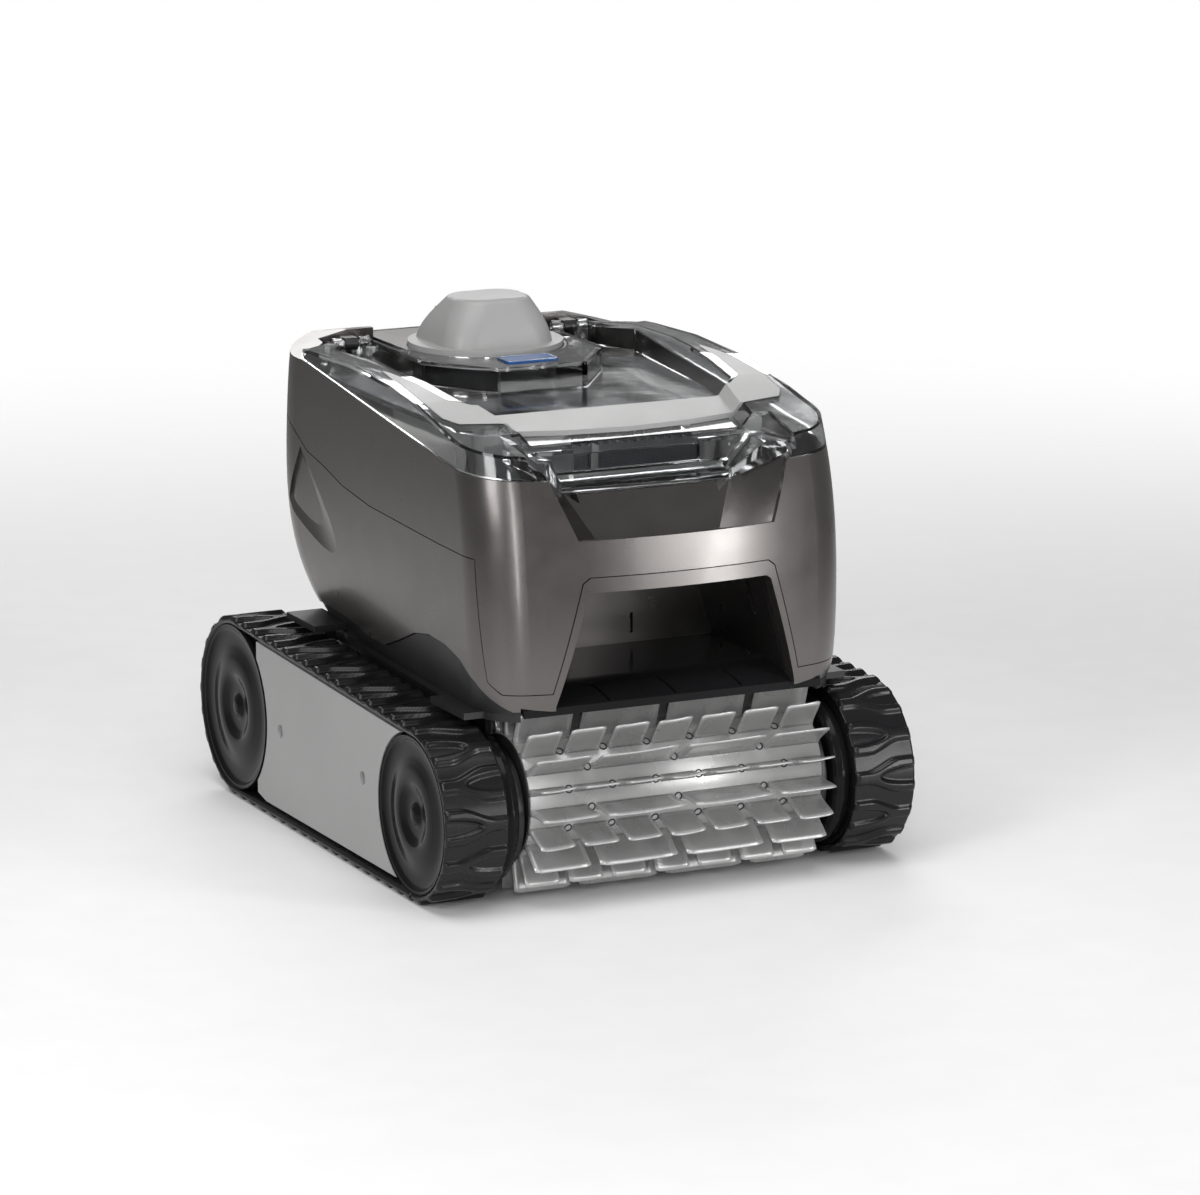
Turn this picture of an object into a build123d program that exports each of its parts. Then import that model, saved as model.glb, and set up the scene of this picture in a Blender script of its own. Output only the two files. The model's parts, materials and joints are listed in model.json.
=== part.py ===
"""Compact tracked pool-floor cleaning robot, as separate pieces.

Millimetres. X is across the machine, the front is -Y, +Z is up. The origin is on the ground,
under the middle of the machine. back(d) gives the Y of a place d behind the front wheel axle.
"""

from math import atan2, cos, degrees, hypot, pi, radians, sin

from build123d import *

import os

os.makedirs("parts", exist_ok=True)

# ---------------------------------------------------------------- driving dimensions
OVERALL_WIDTH = 270.0
WHEELBASE = 240.8
FRONT_TRACK_RADIUS = 46.4
REAR_TRACK_RADIUS = 50.6
BELT_WIDTH = 35.0
BELT_BASE = 2.4
BELT_LUG = 2.3
LUG_COUNT = 72
BRUSH_TIP_RADIUS = 51.0
BRUSH_CORE_RADIUS = 33.5
BRUSH_HALF_LENGTH = 84.0
BRUSH_AHEAD = 3.2
BRUSH_RISE = 5.1
WALL = 3.0
SEAM = 0.5
CLEAR = 0.3
RUNNING_FIT = 0.05

# The middle of the overall length, from the brush tips to the back of the rear tracks, is Y = 0.
OVERALL_FRONT = -BRUSH_AHEAD - BRUSH_TIP_RADIUS
OVERALL_BACK = WHEELBASE + REAR_TRACK_RADIUS
FRONT_AXLE_Y = -(OVERALL_FRONT + OVERALL_BACK) / 2
HALF_WIDTH = OVERALL_WIDTH / 2
BELT_INNER_X = HALF_WIDTH - BELT_WIDTH


def back(distance):
    """Y of a place that is distance behind the front axle."""
    return FRONT_AXLE_Y + distance


FRONT_AXLE = (back(0), FRONT_TRACK_RADIUS)
REAR_AXLE = (back(WHEELBASE), REAR_TRACK_RADIUS)
BRUSH_AXIS = (back(-BRUSH_AHEAD), FRONT_TRACK_RADIUS + BRUSH_RISE)
HOOD_Y = back(201)
HINGE = (back(234), 249.0)
PIN_RADIUS = 2.0
FLAP_HINGE = (back(113), 119.5)
PANEL_HOLES = (63.0, 175.0)
PANEL_HOLE_Z = 51.4
BLADE_TURN = 2.6


def save(part, name):
    """Label a finished piece and write its STEP file."""
    part.label = name
    export_step(part, f"parts/{name}.step")


def across(x, y=0.0, z=0.0):
    """A plane square to X: its own x is +Y and its own y is +Z."""
    return Plane(origin=(x, y, z), x_dir=(0, 1, 0), z_dir=(1, 0, 0))


def lathe(axle):
    """A plane through an axle: its own x is +X and its own y is the radius."""
    return Plane(origin=(0, axle[0], axle[1]), x_dir=(1, 0, 0), z_dir=(0, -1, 0))


def turned(axle, side, outline):
    """A body of revolution about an axle, from (distance from the middle, radius) points."""
    with BuildPart() as body:
        with BuildSketch(lathe(axle)):
            with BuildLine():
                Polyline(*[(side * x, r) for x, r in outline], close=True)
            make_face()
        revolve(axis=Axis((0, axle[0], axle[1]), (1, 0, 0)))
    return body.part


def rod(axle, radius, start, end):
    """A plain round bar along X between two places."""
    with BuildPart() as bar:
        with BuildSketch(across(start, axle[0], axle[1])):
            Circle(radius)
        extrude(amount=end - start)
    return bar.part


def slab(low, high):
    """A block from its lowest to its highest corner."""
    with BuildPart() as block:
        with BuildSketch(Plane.XY.offset(low[2])):
            with Locations(((low[0] + high[0]) / 2, (low[1] + high[1]) / 2)):
                Rectangle(high[0] - low[0], high[1] - low[1])
        extrude(amount=high[2] - low[2])
    return block.part


def side_profile(points, half_length):
    """A prism across the machine from points (distance behind the front axle, height)."""
    with BuildPart() as prism:
        with BuildSketch(Plane.YZ):
            with BuildLine():
                Polyline(*[(back(d), z) for d, z in points], close=True)
            make_face()
        extrude(amount=half_length, both=True)
    return prism.part


def front_profile(points, start, end):
    """A prism along Y between two distances behind the axle, from points (x, height)."""
    with BuildPart() as prism:
        with BuildSketch(Plane.XZ.offset(-back(start))):
            with BuildLine():
                Polyline(*points, close=True)
            make_face()
        extrude(amount=-(end - start))
    return prism.part


def mirrored(right_half):
    """Close a right-hand outline by repeating it on the left."""
    return right_half + [(-x, z) for x, z in reversed(right_half)]


def plan_prism(points, low, high):
    """An upright prism from right-hand plan points (x, distance behind the axle)."""
    outline = [(x, back(d)) for x, d in points] + [(-x, back(d)) for x, d in reversed(points) if x]
    with BuildPart() as prism:
        with BuildSketch(Plane.XY.offset(low)):
            with BuildLine():
                Polyline(*outline, close=True)
            make_face()
        extrude(amount=high - low)
    return prism.part


# ---------------------------------------------------------------- body shape
# Height, nose, tail, half width at the front and half width at the back.
HULL_STATIONS = [
    (96, -40.5, 226, 102.5, 90),
    (115, -43.0, 250, 104.5, 97),
    (135, -43.8, 265, 105.0, 101),
    (165, -42.5, 273, 105.5, 104),
    (195, -38.5, 274, 105.5, 104.5),
    (222, -31.0, 273, 105.0, 104),
    (264, -15.0, 269, 103.0, 101),
]
NOSE_CURVE_RADIUS = 311.0
TAIL_BOW = 7.0
FRONT_CORNER = 30.0
REAR_CORNER = 48.0


def hull_section(station, inset):
    """One level cut through the body, with every side moved in by inset."""
    height, nose, tail, front_half, rear_half = station
    nose, tail = nose + inset, tail - inset
    front_half, rear_half = front_half - inset, rear_half - inset
    front_shoulder = nose + front_half**2 / (2 * NOSE_CURVE_RADIUS)
    rear_shoulder = tail - TAIL_BOW
    with BuildSketch(Plane.XY.offset(height)) as section:
        with BuildLine():
            front = ThreePointArc(
                (-front_half, back(front_shoulder)), (0, back(nose)), (front_half, back(front_shoulder))
            )
            right = Line(front @ 1, (rear_half, back(rear_shoulder)))
            rear = ThreePointArc(right @ 1, (0, back(tail)), (-rear_half, back(rear_shoulder)))
            Line(rear @ 1, front @ 0)
        make_face()
        corners = section.vertices().sort_by(Axis.Y)
        fillet(corners[:2], FRONT_CORNER - inset)
        fillet(section.vertices().sort_by(Axis.Y)[-2:], REAR_CORNER - inset)
    return section.sketch


def hull_body(inset):
    """The whole body shape, solid, with every side moved in by inset."""
    with BuildPart() as body:
        loft(sections=[hull_section(station, inset) for station in HULL_STATIONS])
    return body.part


HULL_OUTER = hull_body(0)
HULL_INNER = hull_body(WALL)

# The joint between body and lid climbs towards the back.
LID_SEAM_FRONT = 222.0
LID_SEAM_SLOPE = 0.1145


def lid_seam(distance):
    """Height of the joint under the lid."""
    return LID_SEAM_FRONT + LID_SEAM_SLOPE * distance


HIGH = 300.0
FAR_FRONT = -80.0
FAR_BACK = 320.0
LID_BACK = 238.0

# Side view of the joint between upper shell and lower hull, from the nose to the tail.
UPPER_SEAM = [(-19, 111), (-12, 180), (29, 180.5), (75, 182), (119, 183.5), (155, 187.7), (184, 194.5),
              (204, 198), (223, 207), (240, 214), (300, 232)]
FOOT_SEAM = 111.0

# Front view of the arch over the brush: joint line, rim and clear opening.
ARCH_SEAM_CUT = mirrored([(70.5, 60), (70.5, 111), (55.0, 167.5), (51.0, 170.5)])
ARCH_RIM = mirrored([(70.0, 60), (70.0, 111), (54.5, 167.1), (50.6, 170.0)])
ARCH_OPEN = mirrored([(68.4, 60), (68.4, 104), (52.2, 160.5), (49.5, 162.5)])
LINER_BACK = 61.0

# Front view of the notch above the arch.
NOTCH = mirrored([(55.8, 189.0), (83.0, 255.0)])
NOTCH_BACK = 30.0

# Side view of the bottom edge of the lower hull.
HULL_FOOT = [(-60, 101.6), (-27, 101.6), (-10, 116), (6, 124), (24, 128), (46, 129), (66, 125.5),
             (90, 116.5),
             (114, 108.5), (135, 108.5), (165, 113), (200, 114), (240, 110), (300, 104)]


def above(points, lift=0.0):
    """The region above a side-view line."""
    return [(d, z + lift) for d, z in points] + [(points[-1][0], HIGH), (points[0][0], HIGH)]


UPPER_ZONE = side_profile(
    [(FAR_FRONT, FOOT_SEAM), (-25, FOOT_SEAM), (-19, FOOT_SEAM + 6)]
    + UPPER_SEAM[1:]
    + [(300, HIGH), (FAR_FRONT, HIGH)],
    HALF_WIDTH,
)
LOWER_ZONE_CUT = side_profile(
    [(FAR_FRONT, FOOT_SEAM - SEAM), (-24.6, FOOT_SEAM - SEAM), (-19 + SEAM, FOOT_SEAM + 6)]
    + [(d + SEAM, z - SEAM) for d, z in UPPER_SEAM[1:]]
    + [(300 + SEAM, HIGH), (FAR_FRONT, HIGH)],
    HALF_WIDTH,
)
CROWN = [(-60, 214), (-34, 225.5), (-22, 231), (27, 240.5), (60, 247.5), (95, 252), (150, 254.5),
         (200, 253),
         (240, 250.5), (300, 246)]


# Side and front views of the top of the two raised ears at the back corners.
EAR_TOP = [(FAR_FRONT, 262), (236, 257), (262, 252.5), (272, 247), (290, 236)]
EAR_SLOPE = mirrored([(120, 241.5), (103, 246.5), (64, 255.0)])
EAR_FRONT = 244.0
EAR_INNER = 48.0
DECK_TOP = 249.0
SCOOP_RADIUS = 60.0
SCOOP_DEPTH = 1.6

# Plan outlines, right half: the lid's back edge, and the front edge of the ear behind it.
LID_PLAN = [(150, FAR_FRONT), (150, 211), (99, 213), (80, 230.5), (79, LID_BACK)]
EAR_PLAN = [(150, 213.5), (100, 215.5), (82.5, 233.5), (81, EAR_FRONT), (EAR_INNER, EAR_FRONT),
            (EAR_INNER, FAR_BACK), (150, FAR_BACK)]

LID_ZONE = plan_prism(LID_PLAN[:-1] + [(79, EAR_FRONT), (0, EAR_FRONT)], 180, HIGH) & side_profile(
    [(FAR_FRONT, lid_seam(FAR_FRONT)), (FAR_BACK, lid_seam(FAR_BACK)), (FAR_BACK, HIGH),
     (FAR_FRONT, HIGH)], HALF_WIDTH)


# ---------------------------------------------------------------- body shells

def make_upper_shell():
    """Taupe fascia, side walls, rear collar and its two raised ears."""
    ear_roof = front_profile(EAR_SLOPE + [(-120, HIGH), (120, HIGH)], FAR_FRONT, FAR_BACK)
    with BuildPart() as shell:
        add(HULL_OUTER)
        add(HULL_INNER, mode=Mode.SUBTRACT)
        add(UPPER_ZONE, mode=Mode.INTERSECT)
        add(LID_ZONE, mode=Mode.SUBTRACT)
        add(front_profile(ARCH_SEAM_CUT, -70, 20), mode=Mode.SUBTRACT)
        add(front_profile(NOTCH, -70, NOTCH_BACK), mode=Mode.SUBTRACT)
        add(slab((-EAR_INNER, back(EAR_FRONT - 20), DECK_TOP), (EAR_INNER, back(FAR_BACK), HIGH)),
            mode=Mode.SUBTRACT)
    with BuildPart() as ears:
        for side in (-1, 1):
            with BuildSketch(Plane.XY.offset(228)):
                with BuildLine():
                    Polyline(*[(side * x, back(d)) for x, d in EAR_PLAN], close=True)
                make_face()
            extrude(amount=60)
        add(HULL_INNER, mode=Mode.INTERSECT)
    with BuildPart() as upper:
        add(shell.part)
        add(ears.part)
        add(side_profile(above(EAR_TOP), HALF_WIDTH), mode=Mode.SUBTRACT)
        add(ear_roof, mode=Mode.SUBTRACT)
    save(upper.part, "upper_shell")


def scoops():
    """Shallow grooves that sweep down the two sides of the lower hull."""
    with BuildPart() as grooves:
        for side in (-1, 1):
            middle = (side * (SCOOP_RADIUS + 103.5), back(172), 148)
            with Locations(Plane(origin=middle, z_dir=(-side * 0.05, 1.0, 0.62))):
                Cylinder(SCOOP_RADIUS, 130)
        add(hull_body(-2), mode=Mode.INTERSECT)
        add(hull_body(SCOOP_DEPTH), mode=Mode.SUBTRACT)
    return grooves.part


def make_lower_hull():
    """Taupe lower half with the foot of the arch and the rim around it."""
    with BuildPart() as rim:
        add(HULL_OUTER)
        add(hull_body(9.0), mode=Mode.SUBTRACT)
        add(front_profile(ARCH_RIM, -70, 5), mode=Mode.INTERSECT)
        add(front_profile(ARCH_OPEN, -70, 5), mode=Mode.SUBTRACT)
        add(slab((-80, back(-70), 101.6), (80, back(5), 180)), mode=Mode.INTERSECT)
    with BuildPart() as lower:
        add(HULL_OUTER)
        add(HULL_INNER, mode=Mode.SUBTRACT)
        add(LOWER_ZONE_CUT, mode=Mode.SUBTRACT)
        add(front_profile(ARCH_OPEN, -70, 5), mode=Mode.SUBTRACT)
        add(side_profile(above(HULL_FOOT), HALF_WIDTH), mode=Mode.INTERSECT)
        add(rim.part)
        add(scoops(), mode=Mode.SUBTRACT)
        add(rod(BRUSH_AXIS, COVER_OUTER, -86, 86), mode=Mode.SUBTRACT)
    save(lower.part, "lower_hull")


def make_arch_liner():
    """Three walls and a ceiling that line the arch behind the rim."""
    outer = mirrored([(70.9, 104.6), (54.6, 163.4), (51.0, 165.2)])
    with BuildPart() as liner:
        add(front_profile(outer, -26, LINER_BACK))
        add(front_profile(ARCH_OPEN, -30, LINER_BACK - WALL), mode=Mode.SUBTRACT)
        add(hull_body(9.4), mode=Mode.INTERSECT)
        for side in (-1, 1):
            low, high = sorted((side * 40, side * 90))
            with BuildSketch(across(low)):
                with Locations((back(-6), 146)):
                    SlotOverall(24, 4.4, rotation=90)
            extrude(amount=high - low, mode=Mode.SUBTRACT)
        add(rod(BRUSH_AXIS, COVER_OUTER, -90, 90), mode=Mode.SUBTRACT)
        add(slab((-90, back(-4), 90), (90, back(70), FLOOR_TOP)), mode=Mode.SUBTRACT)
        for x in (-19, 19):
            add(slab((x - 1, back(50), 115), (x + 1, back(70), 126)), mode=Mode.SUBTRACT)
    save(liner.part, "arch_liner")


def make_front_panel():
    """Darker panel set back inside the notch, with its cheeks."""
    with BuildPart() as panel:
        add(side_profile([(-14, 181), (8, 181), (8, 205.5), (0, 205.5)], 80))
        for side in (-1, 1):
            with BuildPart(mode=Mode.PRIVATE) as cheek:
                for height, front_x, front_d, back_x, back_d in ((181, 55, -33, 34, -14),
                                                                 (222, 70, -23, 56, 9)):
                    with BuildSketch(Plane.XY.offset(height)):
                        with BuildLine():
                            Polyline((side * front_x, back(front_d)), (side * 90, back(front_d)),
                                     (side * 90, back(10)),
                                     (side * back_x, back(10)), (side * back_x, back(back_d)), close=True)
                        make_face()
                loft(ruled=True)
            add(cheek.part)
        add(front_profile(mirrored([(54.6, 181.0), (76.5, 235.0)]), -70, 20), mode=Mode.INTERSECT)
        for side in (-1, 1):
            with BuildPart(mode=Mode.PRIVATE) as wedge_room:
                with BuildSketch(Plane.XZ.offset(70)):
                    with BuildLine():
                        Polyline((side * 40, 201.2), (side * 69.0, 222.1), (side * 95, 222.1),
                                 (side * 95, 300),
                                 (side * 40, 300), close=True)
                    make_face()
                extrude(amount=120)
            add(wedge_room.part, mode=Mode.SUBTRACT)
        add(hull_body(WALL + 0.3), mode=Mode.INTERSECT)
        for drop in (0, SEAM):
            add(make_apron().moved(Location((0, -drop, -drop))), mode=Mode.SUBTRACT)
        add(LID_ZONE, mode=Mode.SUBTRACT)
    save(panel.part, "front_panel")


def make_rear_deck():
    """Plate around the outlet hood, closed to the collar behind."""
    with BuildPart() as deck:
        with BuildSketch(Plane.XY.offset(DECK_TOP - 5)):
            with Locations((0, back(211))):
                RectangleRounded(92, 108, 12)
            with Locations((0, HOOD_Y)):
                Circle(RING_RADIUS + 0.5, mode=Mode.SUBTRACT)
        extrude(amount=5)
        add(hull_body(WALL + 0.3), mode=Mode.INTERSECT)
        add(slab((-70, back(140), 200), (70, HOOD_Y + SEAM, HIGH)) - ring_room(RING_RADIUS + 2.0),
            mode=Mode.SUBTRACT)
    save(deck.part, "rear_deck")


# ---------------------------------------------------------------- outlet hood and propeller
RING_RADIUS = 42.5
DUCT_RADIUS = 38.0
HOOD_FOOT = 252.0
HOOD_TOP = 277.0
HOOD_ROUND = 5.0


def ring_room(radius):
    """An upright cylinder around the outlet."""
    with BuildPart() as room:
        with BuildSketch(Plane.XY.offset(200)):
            with Locations((0, HOOD_Y)):
                Circle(radius)
        extrude(amount=100)
    return room.part


def hood_solid(inset):
    """The hood: a broad rounded hump that leans back to its outlet."""
    height = HOOD_TOP - HOOD_FOOT
    sections = ((0, 64, 62, 15, 2), (10, 59, 55, 16, 0), (18, 51, 45, 16, -2), (height, 42, 34, 14, -4))
    with BuildPart() as hood:
        for rise, wide, deep, corner, shift in sections:
            top_drop = inset if rise > 20 else 0
            with BuildSketch(Plane.XY.offset(HOOD_FOOT + rise - top_drop)):
                with Locations((0, HOOD_Y + shift)):
                    RectangleRounded(wide - 2 * inset, deep - 2 * inset, corner - inset)
        loft()
        fillet(hood.edges().group_by(Axis.Z)[-1], HOOD_ROUND - inset)
    return hood.part


def make_outlet():
    """Outlet hood on its ring, the duct under it, and the guard across the mouth."""
    with BuildPart() as hood:
        with BuildSketch(Plane.XY.offset(DECK_TOP - 5)):
            with Locations((0, HOOD_Y)):
                Circle(RING_RADIUS)
                Circle(DUCT_RADIUS - 2, mode=Mode.SUBTRACT)
        extrude(amount=HOOD_FOOT - DECK_TOP + 5)
        with BuildSketch(Plane.XY.offset(HOOD_FOOT - 3)):
            with Locations((0, HOOD_Y)):
                Circle(RING_RADIUS - 1)
            with Locations((0, HOOD_Y + 2)):
                RectangleRounded(56, 54, 10, mode=Mode.SUBTRACT)
        extrude(amount=3)
        add(hood_solid(0))
        add(hood_solid(2.5), mode=Mode.SUBTRACT)
        add(slab((-22, HOOD_Y + 12, HOOD_FOOT + 2), (22, HOOD_Y + 60, HOOD_TOP - 6)), mode=Mode.SUBTRACT)
    save(hood.part, "outlet_hood")

    with BuildPart() as guard:
        for row in range(4):
            with BuildSketch(across(-21.9, HOOD_Y + 21 - 1.2 * row, HOOD_FOOT + 4 + 4 * row)):
                Circle(0.9)
            extrude(amount=43.8)
        with BuildSketch(Plane.YZ):
            with BuildLine():
                Polyline((HOOD_Y + 20.6, HOOD_FOOT + 2.2), (HOOD_Y + 22.4, HOOD_FOOT + 2.2),
                         (HOOD_Y + 17.6, HOOD_FOOT + 16.4), (HOOD_Y + 15.8, HOOD_FOOT + 16.4), close=True)
            make_face()
        extrude(amount=0.9, both=True)
    save(guard.part, "outlet_guard")

    with BuildPart() as duct:
        with BuildSketch(Plane.XY.offset(DUCT_FOOT)):
            with Locations((0, HOOD_Y)):
                Circle(DUCT_RADIUS)
                Circle(DUCT_RADIUS - 2.5, mode=Mode.SUBTRACT)
        extrude(amount=DECK_TOP - 5 - DUCT_FOOT)
        with BuildSketch(Plane.XY.offset(DUCT_FOOT)):
            with Locations((0, HOOD_Y)):
                Circle(DUCT_RADIUS - 1)
                Circle(12, mode=Mode.SUBTRACT)
                with PolarLocations(24, 8):
                    SlotOverall(16, 9, mode=Mode.SUBTRACT)
        extrude(amount=2.5)
    save(duct.part, "outlet_duct")

    with BuildPart() as propeller:
        with BuildSketch(Plane.XY.offset(PROPELLER_Z - 9)):
            with Locations((0, HOOD_Y)):
                Circle(9)
                Circle(PUMP_SHAFT_RADIUS, mode=Mode.SUBTRACT)
        extrude(amount=18)
        for blade in range(3):
            turn = radians(120 * blade)
            middle = (21 * cos(turn), HOOD_Y + 21 * sin(turn), PROPELLER_Z)
            radial = Vector(cos(turn), sin(turn), 0)
            around = Vector(-sin(turn), cos(turn), 0)
            pitch = around * cos(radians(32)) + Vector(0, 0, 1) * sin(radians(32))
            with BuildSketch(Plane(origin=middle, x_dir=radial, z_dir=radial.cross(pitch))):
                Ellipse(13, 10)
            extrude(amount=1.1, both=True)
    save(propeller.part, "propeller")

    with BuildPart() as shaft:
        with BuildSketch(Plane.XY.offset(PUMP_TOP + 2)):
            with Locations((0, HOOD_Y)):
                Circle(PUMP_SHAFT_RADIUS)
        extrude(amount=PROPELLER_Z + 9 - PUMP_TOP - 2)
    save(shaft.part, "propeller_shaft")


# ---------------------------------------------------------------- sealed motor block
PUMP_SHAFT_RADIUS = 3.0
PUMP_TOP = 186.0
PROPELLER_Z = 214.0
DUCT_FOOT = 196.0
BLOCK_FOOT = 108.0
COLUMN_FOOT = 30.0
BOARD_FOOT = BLOCK_FOOT + WALL


def make_motor_block():
    """Sealed block under the hood: housing, cap, pump motor, shaft seal, board and cable gland."""
    with BuildPart() as housing:
        with BuildSketch(Plane.XY.offset(BLOCK_FOOT)):
            with Locations((0, HOOD_Y)):
                RectangleRounded(70, 70, 10)
        extrude(amount=PUMP_TOP - 8 - BLOCK_FOOT)
        with BuildSketch(Plane.XY.offset(BLOCK_FOOT + WALL)):
            with Locations((0, HOOD_Y)):
                RectangleRounded(64, 64, 7)
        extrude(amount=PUMP_TOP - 8 - BLOCK_FOOT - WALL, mode=Mode.SUBTRACT)
        with BuildSketch(Plane.XY.offset(COLUMN_FOOT)):
            with Locations((0, HOOD_Y - 14)):
                RectangleRounded(50, 40, 8)
        extrude(amount=BLOCK_FOOT - COLUMN_FOOT)
        with BuildSketch(Plane.XZ.offset(-HOOD_Y - 36)):
            with Locations((0, 150)):
                Circle(6.0)
        extrude(amount=6, mode=Mode.SUBTRACT)
    save(housing.part, "motor_housing")

    with BuildPart() as cap:
        with BuildSketch(Plane.XY.offset(PUMP_TOP - 8)):
            with Locations((0, HOOD_Y)):
                RectangleRounded(76, 76, 12)
                Circle(7, mode=Mode.SUBTRACT)
        extrude(amount=8)
        with BuildSketch(Plane.XY.offset(PUMP_TOP - 8)):
            with Locations((0, HOOD_Y)):
                with GridLocations(64, 64, 2, 2):
                    Circle(1.6)
        extrude(amount=8, mode=Mode.SUBTRACT)
    save(cap.part, "motor_cap")

    with BuildPart() as screws:
        with BuildSketch(Plane.XY.offset(PUMP_TOP - 6)):
            with Locations((0, HOOD_Y)):
                with GridLocations(64, 64, 2, 2):
                    Circle(1.5)
        extrude(amount=6)
        with BuildSketch(Plane.XY.offset(PUMP_TOP)):
            with Locations((0, HOOD_Y)):
                with GridLocations(64, 64, 2, 2):
                    Circle(3)
                    RegularPolygon(1.2, 6, mode=Mode.SUBTRACT)
        extrude(amount=2.2)
    save(screws.part, "cap_screws")

    with BuildPart() as seal:
        with BuildSketch(Plane.XY.offset(PUMP_TOP - 7)):
            with Locations((0, HOOD_Y)):
                Circle(7)
                Circle(PUMP_SHAFT_RADIUS + RUNNING_FIT, mode=Mode.SUBTRACT)
        extrude(amount=9)
    save(seal.part, "shaft_seal")

    with BuildPart() as pump:
        with BuildSketch(Plane.XY.offset(BLOCK_FOOT + 22)):
            with Locations((0, HOOD_Y)):
                Circle(26)
        extrude(amount=PUMP_TOP - 8 - BLOCK_FOOT - 22)
    save(pump.part, "pump_motor")

    with BuildPart() as board:
        with BuildSketch(Plane.XY.offset(BOARD_FOOT)):
            with Locations((0, HOOD_Y)):
                Rectangle(56, 56)
        extrude(amount=1.6)
        for chip_x, chip_y, size, tall in ((-14, 8, 14, 3), (12, -10, 18, 8), (14, 16, 9, 5),
                                           (-16, -16, 8, 10)):
            with BuildSketch(Plane.XY.offset(BOARD_FOOT + 1.6)):
                with Locations((chip_x, HOOD_Y + chip_y)):
                    Rectangle(size, size)
            extrude(amount=tall)
    save(board.part, "control_board")

    with BuildPart() as gland:
        with BuildSketch(Plane.XZ.offset(-HOOD_Y - 32)):
            with Locations((0, 150)):
                Circle(5.9)
                Circle(3.5, mode=Mode.SUBTRACT)
        extrude(amount=-12)
        with BuildSketch(Plane.XZ.offset(-HOOD_Y - 35.2)):
            with Locations((0, 150)):
                RegularPolygon(9, 6)
                Circle(3.5, mode=Mode.SUBTRACT)
        extrude(amount=-7)
    save(gland.part, "cable_gland")


# ---------------------------------------------------------------- lid
PLATEAU_TOP = 249.5
NOTCH_HALF = 51.0
HINGE_RADIUS = 3.5


def lid_region():
    """Everything that the closed lid fills, before it is hollowed."""
    with BuildPart() as region:
        add(HULL_OUTER)
        add(plan_prism(LID_PLAN, 180, HIGH), mode=Mode.INTERSECT)
        add(side_profile(
            [(FAR_FRONT, lid_seam(FAR_FRONT) + SEAM), (LID_BACK, lid_seam(LID_BACK) + SEAM),
             (LID_BACK, HIGH),
             (FAR_FRONT, HIGH)], HALF_WIDTH), mode=Mode.INTERSECT)
        add(side_profile(above(CROWN), HALF_WIDTH), mode=Mode.SUBTRACT)
        add(front_profile(mirrored([(69.5 - 13.2, 190.0), (83.0, 255.0)]), -70, 12), mode=Mode.SUBTRACT)
    return region.part


def tray_line(distance):
    """Height of the underside of the sunken tray in the lid."""
    return 228.5 + 0.04 * distance


# Plan outlines, right half: the opening inside the rim, and the raised middle.
RIM_INSIDE = [(74, 52), (79, 60), (86, 125), (90, 200), (77, 222), (77, 245)]
PLATEAU = [(26.5, 127), (49, 158), (NOTCH_HALF + 2.5, 165), (NOTCH_HALF + 2.5, 236)]
GRIP_PLAN = [(0, 20), (35, 22), (65, 26.5), (92, 31), (97.5, 40), (98.5, 62), (96, 110), (93.5, 127),
             (91.5, 122),
             (85, 64), (75, 53.5), (63, 50.5)]
BAR_TOP = [(10, 233), (20, 234.6), (27, 236), (50, 240), (70, 243)]
BAR_SIDES = mirrored([(60.5, 233), (84.5, 260)])
FINGER_HALF = 36.0
GRIP_THICKNESS = 2.6
KNUCKLES = (55, 61, 71, 77)
BRACKET = (62, 70)


def bar_dip(drop):
    """The room above the low middle of the grip bar, lowered by drop."""
    with BuildPart() as dip:
        add(side_profile(above(BAR_TOP, -drop), 90))
        add(front_profile([(x, z - drop) for x, z in BAR_SIDES], 5, 72), mode=Mode.INTERSECT)
    return dip.part


def tilted_slab(low, high, start, end, half_length):
    """A plate between two offsets from the tray line."""
    return side_profile(
        [(start, tray_line(start) + low), (end, tray_line(end) + low), (end, tray_line(end) + high),
         (start, tray_line(start) + high)], half_length)


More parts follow.
